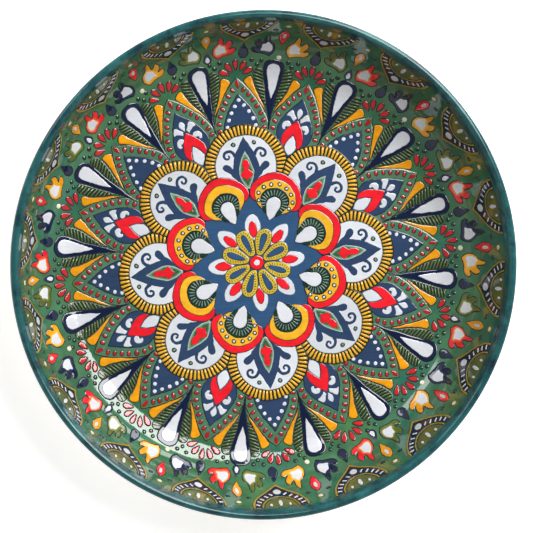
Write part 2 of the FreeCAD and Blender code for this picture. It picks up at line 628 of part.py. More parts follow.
# The blue field fills what the flower and the crescents leave, an eighth of it at a time.
slice_45 = wedge(HALF_STEP, 0.0)
star = flat_face(oval(0, 0, STAR_RADIUS, STAR_RADIUS, corners=16)).common(slice_45)
petals = both_sides(PETAL, HALF_STEP)
star = star.cut([boss, flat_face(LOOP), crescent, yellow_crescent, half_disc, crescent_drop] + petals)
enamel("star_field", repeated(film(star), BETWEEN, 8))

# --- Medallions -------------------------------------------------------------------------------
crescents = both_sides(CRESCENT_RED, HALF_STEP)
flower_disc = flat_face(oval(0, 0, MEDALLION_START, MEDALLION_START, corners=16))
slice_medallion = wedge(HALF_STEP, LINE / 2)
slice_ribbon = wedge(QUARTER_STEP, LINE / 2)
medallion = flat_face(oval(0, MEDALLION_MIDDLE, RING_OUTER, RING_OUTER))
ring_hole = flat_face(oval(0, MEDALLION_MIDDLE, RING_INNER, RING_INNER))
field = flat_face(oval(0, MEDALLION_MIDDLE, FIELD_RADIUS, FIELD_RADIUS))
ring = medallion.cut([ring_hole, flower_disc] + crescents).common(slice_medallion)
ogive = flat_face(OGIVE, crescents)
almond = flat_face(ALMOND, crescents)
fleur = flat_face(FLEUR, crescents)
scroll = stroke(SCROLL, SCROLL_WIDTH, SCROLL_END)
scrolls = [flat_face(outline, [ogive]) for outline in (scroll, flipped(scroll))]
medallion_dots = dots(pairs([MEDALLION_DOT]), DOT_RADIUS["medallion"])
field = field.common(slice_medallion).cut([flower_disc, ogive, almond] + crescents + scrolls + medallion_dots)
enamel("medallion_rings", repeated(film(ring), MANDALA, 8))
enamel("medallion_fields", repeated(film(field), MANDALA, 8))
enamel("medallion_ogives", repeated(film(ogive.cut(almond)), MANDALA, 8))
enamel("medallion_scrolls", repeated(films(scrolls), MANDALA, 8))
enamel("medallion_almonds", repeated(film(almond.cut(fleur)), MANDALA, 8))
enamel("medallion_fleurs", repeated(film(fleur), MANDALA, 8))
enamel("medallion_dots", repeated(films(medallion_dots), MANDALA, 8))

# --- Leaves and ribbons -----------------------------------------------------------------------
rings_beside = both_sides(oval(0, MEDALLION_MIDDLE, RING_OUTER, RING_OUTER), HALF_STEP)
leaf_dots = dots(pairs(LEAF_DOTS), DOT_RADIUS["leaf"])
chevron = flat_face(CHEVRON, rings_beside)
diamond = flat_face(DIAMOND, rings_beside)
leaf_petals = [flat_face(outline, [chevron]) for outline in
               (LEAF_PETAL, SIDE_PETAL, flipped(SIDE_PETAL), CURL, flipped(CURL))]
enamel("dotted_leaves", repeated(film(flat_face(LEAF, [medallion] + leaf_dots)), MANDALA, 8))
enamel("leaf_dots", repeated(films([dot.cut(medallion) for dot in leaf_dots]), MANDALA, 8))
enamel("fleur_leaves", repeated(film(flat_face(LEAF, rings_beside + [chevron, diamond] + leaf_petals)),
                                BETWEEN, 8))
enamel("leaf_chevrons", repeated(film(chevron), BETWEEN, 8))
enamel("leaf_diamonds", repeated(film(diamond), BETWEEN, 8))
enamel("leaf_petals", repeated(films(leaf_petals), BETWEEN, 8))

seeds = [flat_face(oval(side * x, y, SEED_LONG, SEED_WIDE, side * degrees))
         for x, y, degrees in SEEDS for side in (1, -1)]
level_floor = flat_face(oval(0, 0, FLOOR_EDGE - FLOOR_MARGIN, FLOOR_EDGE - FLOOR_MARGIN, corners=16))
ribbon = flat_face(RIBBON, [flat_face(LEAF), flat_face(FAN_HUB)] + both_sides(SURROUND, QUARTER_STEP))
ribbon = ribbon.common(slice_ribbon).common(level_floor).cut(seeds)
ribbons = repeated(film(ribbon.cut(medallion)), MANDALA, 8)
ribbons += repeated(film(ribbon.cut(rings_beside)), BETWEEN, 8)
enamel("leaf_ribbons", ribbons)
enamel("ribbon_seeds", repeated(films([seed.cut([medallion] + rings_beside) for seed in seeds]), MANDALA, 16))

# --- Teardrops, combs, flames and fans --------------------------------------------------------
fans = relief(FAN_HUB, (0, 73.8))
for angle in FAN_ANGLES:
    lean = math.radians(angle)
    middle = (FAN_REACH * math.sin(lean), FAN_MIDDLE + FAN_REACH * math.cos(lean))
    fans += relief(moved(FAN_PETAL, middle[0], middle[1], -angle), middle)
combs = relief(COMB, (5.0, 73.0)) + relief(flipped(COMB), (-5.0, 73.0))
flames = relief(FLAME, (7.0, 71.0)) + relief(flipped(FLAME), (-7.0, 71.0))
beads = []
for x, y in pairs(BEADS):
    beads += relief(oval(x, y, BEAD_RADIUS, BEAD_RADIUS), (x, y))
enamel("white_teardrops", repeated(relief(TEARDROP, TEARDROP_MIDDLE), TEARDROPS, 16))
enamel("teardrop_surrounds", repeated(relief(SURROUND, TEARDROP_MIDDLE, [TEARDROP]), TEARDROPS, 16))
enamel("hatched_combs", repeated(combs, TEARDROPS, 16))
enamel("yellow_flames", repeated(flames, TEARDROPS, 16))
enamel("fan_petals", repeated(fans, MANDALA, 16))
enamel("garland_beads", repeated(beads, TEARDROPS, 16))

# --- Lunettes ---------------------------------------------------------------------------------
holes = [oval(*numbers) for numbers in LUNETTE_OVALS]
ovals = [solid for hole in holes for solid in relief(hole, LUNETTE_MIDDLE)]
arc_line = stroke([(-x, y) for x, y in reversed(LUNETTE_ARC[1:])] + LUNETTE_ARC, LUNETTE_ARC_WIDTH)
enamel("lunette_edges", repeated(relief(LUNETTE_EDGE, LUNETTE_MIDDLE), BORDER, LUNETTE_COUNT))
enamel("lunette_bands", repeated(relief(LUNETTE_NAVY, LUNETTE_MIDDLE, [holes[0], arc_line]),
                                 BORDER, LUNETTE_COUNT))
enamel("lunette_arcs", repeated(relief(arc_line, LUNETTE_MIDDLE), BORDER, LUNETTE_COUNT))
enamel("lunette_fields", repeated(relief(LUNETTE_FIELD, LUNETTE_MIDDLE, [arc_line] + holes[1:]),
                                  BORDER, LUNETTE_COUNT))
enamel("lunette_ovals", repeated(ovals, BORDER, LUNETTE_COUNT))
enamel("finial_drops", repeated(relief(FINIAL, (0, 88.0)), BORDER, LUNETTE_COUNT))

# --- Tulips and the drops between them --------------------------------------------------------
left_tulip = relief(TULIP, TULIP_MIDDLE, [TULIP_HEART])
right_middle = (-TULIP_MIDDLE[0], TULIP_MIDDLE[1])
right_tulip = relief(flipped(TULIP), right_middle, [flipped(TULIP_HEART)])
hearts = relief(TULIP_HEART, TULIP_MIDDLE) + relief(flipped(TULIP_HEART), right_middle)
enamel("tulips_red", repeated(left_tulip, BORDER, GAP_COUNT))
enamel("tulips_yellow", repeated(left_tulip, BORDER + GAP_STEP / 2, GAP_COUNT))
enamel("tulips_navy", repeated(right_tulip, BORDER, GAP_COUNT))
enamel("tulips_olive", repeated(right_tulip, BORDER + GAP_STEP / 2, GAP_COUNT))
enamel("tulip_hearts", repeated(hearts, BORDER, LUNETTE_COUNT))

drop = relief(DROP, (0, 98.5))
small_middle = (0, 86.0)
gap_dot_at, gap_dot_radius = GAP_DOT
cream_dot_at, cream_dot_radius = CREAM_DOT
bead_at, bead_radius, bead_angle = GAP_BEADS
gap_beads = []
for angle in (-bead_angle, bead_angle):
    lean = math.radians(angle)
    place = (bead_at * math.sin(lean), bead_at * math.cos(lean))
    gap_beads += relief(oval(place[0], place[1], bead_radius, bead_radius), place)
enamel("drops_red", repeated(drop, RED_GAP, GAP_COUNT))
enamel("drops_yellow", repeated(drop, YELLOW_GAP, GAP_COUNT))
enamel("small_white_drops", repeated(relief(SMALL_DROP, small_middle), YELLOW_GAP, GAP_COUNT))
enamel("small_drop_surrounds", repeated(relief(SMALL_SURROUND, small_middle, [SMALL_DROP]),
                                        YELLOW_GAP, GAP_COUNT))
enamel("small_yellow_dots", repeated(relief(oval(0, gap_dot_at, gap_dot_radius, gap_dot_radius),
                                            (0, gap_dot_at)), RED_GAP, GAP_COUNT))
enamel("cream_dots", repeated(relief(oval(0, cream_dot_at, cream_dot_radius, cream_dot_radius),
                                     (0, cream_dot_at)), RED_GAP, LUNETTE_COUNT))
enamel("border_beads", repeated(gap_beads, RED_GAP, LUNETTE_COUNT))
document.recompute()

# ---------------------------------------------------------------------------------------------
# Every piece is checked, and then written to its own file.
# ---------------------------------------------------------------------------------------------
pieces = [clay_dish, ground_glaze, lip_band, outer_glaze, foot_well_glaze] + enamels
for item in document.Objects:
    if "Invalid" in item.State or "Error" in item.State:
        raise RuntimeError("%s failed to build: %s" % (item.Label, item.State))
bad = [piece.Label for piece in pieces
       if piece.Shape.isNull() or not piece.Shape.isValid() or not piece.Shape.Solids]
if bad:
    raise RuntimeError("no valid shape: %s" % ", ".join(bad))

os.makedirs("parts", exist_ok=True)
for piece in pieces:
    piece.Shape.exportStep("parts/%s.step" % piece.Label)
    print("%-20s %4d solids %10.2f mm3" % (piece.Label, len(piece.Shape.Solids), piece.Shape.Volume))
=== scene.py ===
import math
import random

import bpy
import numpy as np
from mathutils import Matrix, Vector
from mathutils.geometry import delaunay_2d_cdt


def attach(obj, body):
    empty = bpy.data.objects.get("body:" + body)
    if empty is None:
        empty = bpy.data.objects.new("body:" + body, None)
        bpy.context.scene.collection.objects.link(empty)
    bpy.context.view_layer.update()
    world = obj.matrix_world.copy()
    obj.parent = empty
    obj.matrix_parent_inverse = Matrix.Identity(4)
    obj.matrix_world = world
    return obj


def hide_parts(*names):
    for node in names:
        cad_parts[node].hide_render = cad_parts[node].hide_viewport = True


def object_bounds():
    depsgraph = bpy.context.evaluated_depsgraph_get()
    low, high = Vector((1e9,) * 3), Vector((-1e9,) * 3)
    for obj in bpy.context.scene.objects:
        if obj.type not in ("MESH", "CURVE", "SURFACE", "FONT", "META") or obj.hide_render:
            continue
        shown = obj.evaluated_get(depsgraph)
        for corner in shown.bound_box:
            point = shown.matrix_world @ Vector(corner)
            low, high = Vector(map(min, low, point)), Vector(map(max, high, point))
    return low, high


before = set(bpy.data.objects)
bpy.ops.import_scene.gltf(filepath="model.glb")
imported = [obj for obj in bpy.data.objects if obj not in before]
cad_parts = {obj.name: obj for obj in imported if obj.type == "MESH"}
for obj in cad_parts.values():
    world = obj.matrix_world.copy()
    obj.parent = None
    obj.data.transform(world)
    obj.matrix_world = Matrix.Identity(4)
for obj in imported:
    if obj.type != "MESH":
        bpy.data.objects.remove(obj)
CAD_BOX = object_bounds()

# Sizes in millimetres, the same as the design's. The looks are drawn a hair smaller than the
# design, so that nothing leaves its box.
MM = 0.001
RADIUS, TOP, FLOOR_TOP = 102.5, 40.0, 7.0
WALL, SLOPE, CORNER, GLAZE = 3.2, math.radians(71.5), 20.0, 0.3
LIP = WALL / 2
FOOT_OUT, FOOT_IN, FOOT_BARE = 60.0, 52.0, 1.8
BAND_INSIDE, BAND_OUTSIDE = 3.0, 5.0
LIP_X, LIP_Z = RADIUS - LIP, TOP - LIP
CORNER_Z = FLOOR_TOP + CORNER
FLOOR_EDGE = LIP_X - (LIP + CORNER) * math.sin(SLOPE) - (
    LIP_Z - CORNER_Z + (LIP + CORNER) * math.cos(SLOPE)) / math.tan(SLOPE)
CORNER_ARC = CORNER * SLOPE
LIP_ARC = FLOOR_EDGE + CORNER_ARC + (
    LIP_X - LIP * math.sin(SLOPE) - FLOOR_EDGE - CORNER * math.sin(SLOPE)) / math.cos(SLOPE)
BAND_ARC = LIP_ARC - BAND_INSIDE
LIMIT = min(-CAD_BOX[0][0], -CAD_BOX[0][1], CAD_BOX[1][0], CAD_BOX[1][1]) / MM
TRIM = (LIMIT - 0.03) / RADIUS
TOP_TRIM = (CAD_BOX[1][2] / MM - 0.02) / TOP
MANDALA, BORDER = 6.3, 14.0
HALF_STEP, QUARTER_STEP = 22.5, 11.25
BETWEEN = MANDALA + HALF_STEP
ON_AXIS, SAME_POINT = 1e-6, 1e-4
dice = random.Random(41)

# The skirt of a dab: lift of its dark line over the glaze, drop of the line under a dab laid over
# another, and how far the skirt's outer edge sinks into the glaze.
LINE_LIFT, LINE_DROP, SUNK = 0.012, 0.008, 0.06

# Where one look gives way to another on the glazes, in metres: two radii, then two heights.
FLOWER_EDGE, WALL_TOP = (0.0585, 0.0615), (0.0965, 0.0995)
BAND_FOOT, BLUSH = (0.0345, 0.0362), (0.026, 0.0345)

# Rings of copies: the angle of the first, in degrees from +X, and how many go round.
AT_MIDDLE = (90, 1)
AT_PETALS, AT_CRESCENTS, AT_LEAVES = (MANDALA, 8), (BETWEEN, 8), (MANDALA, 16)
AT_PLAIN_CRESCENTS, AT_DOTTED_CRESCENTS = (BETWEEN, 4), (BETWEEN + 45, 4)
AT_TEARDROPS = (MANDALA + QUARTER_STEP, 16)
AT_LUNETTES, AT_ODD_LUNETTES, AT_EVEN_LUNETTES = (BORDER, 18), (BORDER, 9), (BORDER + 20, 9)
AT_DROPS, AT_RED_DROPS, AT_YELLOW_DROPS = (BORDER - 10, 18), (BORDER - 10, 9), (BORDER + 10, 9)


def section(arc, lift):
    """Radius and height at a length along the glazed inside, lift above the glaze."""
    slope = np.clip((arc - FLOOR_EDGE) / CORNER, 0.0, SLOPE)
    straight = np.maximum(arc - FLOOR_EDGE - CORNER_ARC, 0.0)
    radius = np.minimum(arc, FLOOR_EDGE) + CORNER * np.sin(slope) + straight * np.cos(slope)
    height = FLOOR_TOP + CORNER * (1 - np.cos(slope)) + straight * np.sin(slope)
    return radius - lift * np.sin(slope), height + lift * np.cos(slope)


def wave(arc, angle):
    """Slow dips and throwing rings in the glazed surface, never above the design's surface."""
    slow = (np.sin(3 * angle + arc / 19 + 0.7) + np.sin(5 * angle - arc / 13 + 2.1)
            + np.sin(2 * angle + arc / 8))
    rings = np.sin(arc / 2.1 + 0.8 * np.sin(angle)) + np.sin(arc / 1.3 + 2 * np.sin(2 * angle + 1))
    fade = np.clip((LIP_ARC - arc) / 3.0, 0.0, 1.0)
    return (-0.018 * (3 + slow) - 0.005 * (2 + rings)) * fade


def spot(arc, angle, lift):
    """Points on the glazed inside, in metres."""
    radius, height = section(arc, lift + wave(arc, angle))
    return np.column_stack((radius * TRIM * np.cos(angle), radius * TRIM * np.sin(angle),
                            height * TOP_TRIM)) * MM


def place(points, lift):
    """Pattern points, with the small wander of a brush, on the glazed inside."""
    x, y = points[:, 0], points[:, 1]
    x2 = (x + 0.10 * np.sin(0.42 * x + 0.31 * y + 1) + 0.05 * np.sin(1.3 * x - 0.9 * y)
          + 0.025 * np.sin(2.9 * y + x))
    y2 = (y + 0.10 * np.sin(0.37 * y - 0.35 * x + 2) + 0.05 * np.sin(1.1 * y + 1.2 * x)
          + 0.025 * np.sin(3.1 * x - y))
    return spot(np.hypot(x2, y2), np.arctan2(y2, x2), lift)


# Outlines: closed loops of pattern points drawn about +Y, smooth through all but the SHARP ones.
SHARP = True


def mirrored(half):
    return list(half) + [(-point[0],) + tuple(point[1:]) for point in reversed(half[1:-1])]


def flipped(outline):
    return [(-point[0],) + tuple(point[1:]) for point in reversed(outline)]


def moved(outline, x=0.0, y=0.0, degrees=0.0):
    """Outline turned anticlockwise about the pattern's middle, and then shifted."""
    c, s = math.cos(math.radians(degrees)), math.sin(math.radians(degrees))
    return [(p[0] * c - p[1] * s + x, p[0] * s + p[1] * c + y) + tuple(p[2:]) for p in outline]


def oval(x, y, across, along, degrees=0.0, corners=8):
    ring = [(across * math.cos(2 * math.pi * k / corners), along * math.sin(2 * math.pi * k / corners))
            for k in range(corners)]
    return moved(ring, x, y, degrees)


def bar(x, y, across, along, degrees=0.0, taper=1.0):
    """Short brush stroke with cut corners, taper being its far end's width over its near end's."""
    half = [(0, -along), (across * 0.7, -along), (across, -along * 0.7), (across * taper, along * 0.7),
            (across * taper * 0.7, along), (0, along)]
    return moved([point + (SHARP,) for point in mirrored(half)], x, y, degrees)


def stroke(path, width, end_width=None):
    """Outline of a brush stroke along a path, narrowing to end_width."""
    end_width = width if end_width is None else end_width
    left, right, last = [], [], len(path) - 1
    for index, (x, y) in enumerate(path):
        ahead, behind = path[min(index + 1, last)], path[max(index - 1, 0)]
        run = Vector((ahead[0] - behind[0], ahead[1] - behind[1])).normalized()
        half = (width + (end_width - width) * index / last) / 2
        left.append((x - run.y * half, y + run.x * half))
        right.append((x + run.y * half, y - run.x * half))
    return left + right[::-1]


def curve(points, spacing, closed):
    """Even points on the smooth curve through some points."""
    p = np.array(points, float)
    if closed:
        p = np.vstack((p[-1:], p, p[:2]))
    else:
        p = np.vstack((2 * p[:1] - p[1:2], p, 2 * p[-1:] - p[-2:-1]))
    out = []
    for a, b, c, d in zip(p[:-3], p[1:-2], p[2:-1], p[3:]):
        steps = max(1, math.ceil(np.linalg.norm(c - b) / spacing))
        t = (np.arange(steps) / steps)[:, None]
        out.append(0.5 * (2 * b + (c - a) * t + (2 * a - 5 * b + 4 * c - d) * t ** 2
                          + (3 * b - a - 3 * c + d) * t ** 3))
    return np.vstack(out)


def trace(outline, spacing=0.36):
    """Loop of points along an outline."""
    sharp = [index for index, point in enumerate(outline) if len(point) > 2]
    plain = [point[:2] for point in outline]
    if not sharp:
        return curve(plain, spacing, True)
    runs = []
    for first, last in zip(sharp, sharp[1:] + [sharp[0] + len(plain)]):
        runs.append(curve([plain[k % len(plain)] for k in range(first, last + 1)], spacing, False))
    return np.vstack(runs)


def clip(loop, degrees, least):
    """The part of a loop that lies at least so far along a direction."""
    way = np.array((math.cos(math.radians(degrees)), math.sin(math.radians(degrees))))
    if len(loop) < 3:
        return loop
    height = loop @ way - least
    out = []
    for index in range(len(loop)):
        a, b, ha, hb = loop[index - 1], loop[index], height[index - 1], height[index]
        if (ha >= 0) != (hb >= 0):
            out.append(a + (b - a) * ha / (ha - hb))
        if hb >= 0:
            out.append(b)
    return np.array(out).reshape(-1, 2)


def sliced(loop, half_angle, inset):
    """The part of a loop within half_angle of +Y, less inset."""
    return clip(clip(loop, half_angle, inset), 180 - half_angle, inset)


def inside(points, loops):
    x, y = points[:, :1], points[:, 1:]
    crossings = np.zeros(len(points), int)
    for a in loops:
        b = np.roll(a, -1, axis=0)
        rise = np.where(b[:, 1] == a[:, 1], 1e-12, b[:, 1] - a[:, 1])
        astride = (a[:, 1] > y) != (b[:, 1] > y)
        hit = astride & (x < (b[:, 0] - a[:, 0]) * (y - a[:, 1]) / rise + a[:, 0])
        crossings += hit.sum(axis=1)
    return crossings % 2 == 1


def gap(points, loops):
    """Distance from each point to the nearest edge of the loops."""
    best = np.full(len(points), 1e9)
    for a in loops:
        run = np.roll(a, -1, axis=0) - a
        away = points[:, None, :] - a[None]
        share = np.clip((away * run).sum(2) / ((run * run).sum(1) + 1e-12), 0, 1)
        best = np.minimum(best, np.linalg.norm(away - share[..., None] * run, axis=2).min(1))
    return best


def area(loop):
    x, y = loop[:, 0], loop[:, 1]
    return 0.5 * (x @ np.roll(y, -1) - y @ np.roll(x, -1))


class Patch:
    """One dab of enamel in the pattern: triangles with a lift over the glaze, rounded at the rim, and a
    thin skirt that carries the dark line round it. A dab laid over another keeps its skirt up."""

    def __init__(self, outline, holes=(), base=0.05, rise=0.03, rounding=0.3, line=0.2, pitch=1.2,
                 insets=(0.1, 0.3), shade=None, spacing=0.36, over=False):
        loops = [shape if isinstance(shape, np.ndarray) else trace(shape, spacing)
                 for shape in (outline,) + tuple(holes)]
        loops = [loop if (area(loop) > 0) == (index == 0) else loop[::-1]
                 for index, loop in enumerate(loops)]
        points, edges = [], []
        for loop in loops:
            first = sum(len(part) for part in points)
            points.append(loop)
            edges += [(first + k, first + (k + 1) % len(loop)) for k in range(len(loop))]
        outward = []
        for loop in loops:
            run = np.roll(loop, -1, axis=0) - np.roll(loop, 1, axis=0)
            run = run / (np.linalg.norm(run, axis=1)[:, None] + 1e-9)
            outward.append(np.column_stack((run[:, 1], -run[:, 0])))
        for loop, normal in zip(loops, outward):
            for row, depth in enumerate(insets):
                step = 1 if row == 0 else 2
                inner = (loop - normal * depth)[::step]
                inner = inner[inside(inner, loops)]
                if len(inner):
                    points.append(inner[gap(inner, loops) > 0.93 * depth])
        low, high = loops[0].min(0), loops[0].max(0)
        if min(high - low) > pitch:
            rows = np.arange(low[1], high[1], pitch * 0.866)
            grid = np.array([(x + (row % 2) * pitch / 2, y) for row, y in enumerate(rows)
                             for x in np.arange(low[0], high[0], pitch)])
            grid = grid[inside(grid, loops)]
            if len(grid):
                points.append(grid[gap(grid, loops) > insets[-1] + 0.4 * pitch])
        points = np.vstack(points)
        result = delaunay_2d_cdt([Vector(point) for point in points.tolist()], edges, [], 0, 1e-7)
        flat = np.array([tuple(vertex) for vertex in result[0]])
        faces = np.array([face for face in result[2] if len(face) == 3])
        faces = faces[inside(flat[faces].mean(1), loops)]
        where = {source: index for index, sources in enumerate(result[3]) for source in sources}
        depth = gap(flat, loops)
        depth[[where[k] for k in range(sum(len(loop) for loop in loops))]] = 0.0
        share = np.clip(depth / rounding, 0, 1)
        self.points = [flat]
        self.lift = [base + rise * np.sqrt(np.clip(1 - (1 - share) ** 2, 0, 1))]
        self.edge = [depth if line else depth + 1.0]
        self.blend = [np.clip(shade(flat, depth), 0, 1) if shade else np.zeros(len(flat))]
        self.faces = [faces]
        first = 0
        total = len(flat)
        for loop, normal in zip(loops, outward):
            count = len(loop)
            top = np.array([where[first + k] for k in range(count)])
            mid, low = total + np.arange(count), total + count + np.arange(count)
            reach = line if line else 0.04
            self.points += [loop + normal * reach, loop + normal * (reach + 0.03)]
            foot = base - LINE_DROP if over else min(base, LINE_LIFT)
            self.lift += [np.full(count, foot), np.full(count, -SUNK)]
            self.edge += [np.full(2 * count, -1.0 if line else 1.0)]
            self.blend += [self.blend[0][top], self.blend[0][top]]
            for inner, outer in ((top, mid), (mid, low)):
                self.faces.append(np.column_stack((inner, outer, np.roll(outer, -1))))
                self.faces.append(np.column_stack((inner, np.roll(outer, -1), np.roll(inner, -1))))
            first += count
            total += 2 * count
        self.points, self.lift = np.vstack(self.points), np.concatenate(self.lift)
        self.edge, self.blend = np.concatenate(self.edge), np.concatenate(self.blend)
        self.faces = np.vstack(self.faces)


def dab(outline, base, line=0.16, **settings):
    """A dab laid over another."""
    return Patch(outline, base=base, line=line, over=True, **settings)


def new_piece(name, node, points, faces, looks, materials, facts):
    """A mesh that stands for a node of the design and rides on the plate."""
    mesh = bpy.data.meshes.new(name)
    mesh.vertices.add(len(points))
    mesh.vertices.foreach_set("co", points.astype(np.float32).ravel())
    mesh.loops.add(faces.size)
    mesh.loops.foreach_set("vertex_index", faces.astype(np.int32).ravel())
    mesh.polygons.add(len(faces))
    mesh.polygons.foreach_set("loop_start", np.arange(0, faces.size, 3, dtype=np.int32))
    mesh.polygons.foreach_set("loop_total", np.full(len(faces), 3, dtype=np.int32))
    mesh.polygons.foreach_set("material_index", looks.astype(np.int32))
    mesh.update(calc_edges=True)
    for key, values in facts.items():
        mesh.attributes.new(key, "FLOAT", "POINT").data.foreach_set("value", values.astype(np.float32))
    mesh.shade_smooth()
    for material in materials:
        mesh.materials.append(material)
    piece = bpy.data.objects.new(name, mesh)
    bpy.context.scene.collection.objects.link(piece)
    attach(piece, "root")
    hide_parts(node)


def paint(node, slot, *layers):
    """One named piece of the pattern. A layer is some patches drawn about +Y, their material, and the
    ring of copies they go round in."""
    parts, materials, total = [], [], 0
    for patches, material, (first_angle, count) in layers:
        if material not in materials:
            materials.append(material)
        for index in range(count):
            turn = math.radians(first_angle - 90 + index * 360 / count)
            c, s = math.cos(turn), math.sin(turn)
            for patch in patches if isinstance(patches, list) else [patches]:
                x, y = patch.points[:, 0], patch.points[:, 1]
                points = place(np.column_stack((x * c - y * s, x * s + y * c)), patch.lift)
                look = np.full(len(patch.faces), materials.index(material))
                tone = np.full(len(points), dice.random())
                parts.append((points, patch.faces + total, look, patch.edge, patch.blend, tone))
                total += len(points)
    points, faces, looks, edge, blend, tone = (np.concatenate(column) for column in zip(*parts))
    new_piece(node + "_paint", node, points, faces, looks, materials,
              {"edge": edge, "blend": blend, "tone": tone})


# --- Finishes
def rgb(red, green, blue):
    """Linear colour from ordinary 0 to 255 numbers."""
    parts = [c / 255 for c in (red, green, blue)]
    return tuple(c / 12.92 if c <= 0.04045 else ((c + 0.055) / 1.055) ** 2.4 for c in parts) + (1.0,)


class Nodes:
    """A material's nodes, with short ways to add them."""

    def __init__(self, name):
        self.material = bpy.data.materials.new(name)
        self.material.use_nodes = True
        self.tree = self.material.node_tree
        self.shader = self.tree.nodes["Principled BSDF"]
        self.position = self.add("ShaderNodeTexCoord").outputs["Object"]

    def add(self, kind, inputs=(), **settings):
        node = self.tree.nodes.new(kind)
        for key, value in settings.items():
            setattr(node, key, value)
        for key, value in inputs:
            node.inputs[key].default_value = value
        return node

    def link(self, source, target):
        self.tree.links.new(source, target)

    def noise(self, scale, detail=3.0, rough=0.5, stretch=None, warp=0.0):
        node = self.add("ShaderNodeTexNoise", [("Scale", scale), ("Detail", detail),
                                               ("Roughness", rough), ("Distortion", warp)])
        source = self.position
        if stretch:
            mapping = self.add("ShaderNodeMapping", [("Scale", stretch)])
            self.link(source, mapping.inputs["Vector"])
            source = mapping.outputs["Vector"]
        self.link(source, node.inputs["Vector"])
        return node.outputs["Fac"]

    def ramp(self, value, low, high, start=0.0, end=1.0):
        node = self.add("ShaderNodeMapRange", [("From Min", low), ("From Max", high), ("To Min", start),
                                               ("To Max", end)])
        self.link(value, node.inputs["Value"])
        return node.outputs["Result"]

    def math(self, operation, a, b):
        node = self.add("ShaderNodeMath", operation=operation)
        for socket, value in zip(node.inputs, (a, b)):
            if isinstance(value, (int, float)):
                socket.default_value = value
            else:
                self.link(value, socket)
        return node.outputs[0]

    def mix(self, share, a, b):
        node = self.add("ShaderNodeMix", data_type="RGBA")
        for name, value in (("Factor_Float", share), ("A_Color", a), ("B_Color", b)):
            socket = next(item for item in node.inputs if item.identifier == name)
            if isinstance(value, (int, float, tuple)):
                socket.default_value = value
            else:
                self.link(value, socket)
        return next(item for item in node.outputs if item.identifier == "Result_Color")

    def fact(self, name):
        return self.add("ShaderNodeAttribute", attribute_name=name).outputs["Fac"]

    def radius(self):
        """Distance from the plate's axis, and height."""
        split = self.add("ShaderNodeSeparateXYZ")
        self.link(self.position, split.inputs[0])
        square = [self.math("MULTIPLY", split.outputs[k], split.outputs[k]) for k in (0, 1)]
        return self.math("POWER", self.math("ADD", *square), 0.5), split.outputs[2]

    def value(self, shade, amount):
        """A colour made lighter or darker by an amount near 1."""
        node = self.add("ShaderNodeHueSaturation")
        self.link(shade, node.inputs["Color"])
        self.link(amount, node.inputs["Value"])
        return node.outputs["Color"]

    def bump(self, height, strength, distance):
        node = self.add("ShaderNodeBump", [("Strength", strength), ("Distance", distance)])
        self.link(height, node.inputs["Height"])
        self.link(node.outputs["Normal"], self.shader.inputs["Normal"])

    def done(self, shade, roughness, ior=1.5):
        self.link(shade, self.shader.inputs["Base Color"])
        self.shader.inputs["Roughness"].default_value = roughness
        self.shader.inputs["IOR"].default_value = ior
        return self.material


LINE_COLOUR = (24, 38, 40)
GLAZE_IOR = 1.7


def enamel(name, main, other, line=LINE_COLOUR, mottle=0.16, streak=0.10, specular=0.5):
    """Glossy enamel: main to other where a dab's shade says so, a darker pool at its rim, brush streaks
    and a little unevenness from dab to dab."""
    n = Nodes(name + "_enamel_paint")
    shade = n.mix(n.fact("blend"), rgb(*main), rgb(*other))
    cloud = n.ramp(n.noise(260.0, 4.0, 0.6), 0.3, 0.7, 1 - mottle, 1 + mottle * 0.6)
    brush = n.ramp(n.noise(90.0, 3.0, 0.55, (1.0, 9.0, 1.0)), 0.3, 0.7, 1 - streak, 1 + streak * 0.6)
    each = n.ramp(n.fact("tone"), 0.0, 1.0, 0.93, 1.05)
    shade = n.value(shade, n.math("MULTIPLY", n.math("MULTIPLY", cloud, brush), each))
    pool = n.ramp(n.fact("edge"), 0.05, 0.45, 0.86, 1.0)
    shade = n.value(shade, pool)
    ragged = n.math("ADD", n.fact("edge"), n.ramp(n.noise(900.0, 2.0), 0.3, 0.7, -0.04, 0.04))
    shade = n.mix(n.ramp(ragged, -0.02, 0.10), rgb(*line), shade)
    n.bump(n.noise(420.0, 3.0, 0.5), 0.25, 0.00012)
    n.shader.inputs["Specular IOR Level"].default_value = specular
    return n.done(shade, 0.08, GLAZE_IOR)


RED = enamel("red", (250, 34, 48), (255, 150, 30))
# Deep red whose second colour is a painted highlight: seeds and fan petals blend to it towards their
# middles.
DEEP_RED_PAINTED_HIGHLIGHT = enamel("deep_red_painted_highlight", (186, 34, 40), (226, 56, 58))
YELLOW = enamel("yellow", (250, 186, 44), (255, 214, 110))
AMBER = enamel("amber", (252, 168, 20), (255, 196, 60))
GOLD = enamel("gold", (176, 146, 52), (206, 176, 84), specular=0.35)
ROPE = enamel("rope", (226, 190, 54), (232, 210, 130))
WHITE = enamel("white", (228, 230, 236), (240, 240, 236), mottle=0.05, streak=0.04)
PEARL = enamel("pearl", (226, 230, 236), (240, 240, 236), (70, 96, 120), mottle=0.05,
               streak=0.04)
CREAM = enamel("cream", (236, 232, 205), (240, 240, 230), mottle=0.05)
SLATE = enamel("slate", (48, 70, 104), (36, 50, 82), mottle=0.10)
BLUE = enamel("blue", (52, 88, 128), (40, 70, 112), mottle=0.09)
NAVY = enamel("navy", (14, 28, 64), (32, 50, 90), mottle=0.14)
OLIVE = enamel("olive", (92, 106, 42), (150, 150, 60))
DARK_OLIVE = enamel("dark_olive", (44, 50, 34), (70, 74, 40))
LEAF_GREEN = enamel("green", (84, 128, 98), (148, 150, 70))
ALMOND_GREEN = enamel("almond_green", (44, 104, 66), (190, 216, 192))
DARK_GREEN = enamel("dark_green", (28, 56, 44), (50, 84, 62))
SAGE = enamel("sage", (128, 150, 136), (150, 160, 130), mottle=0.2)
BAR_GREEN = enamel("bar_green", (104, 118, 66), (120, 140, 90), mottle=0.2)
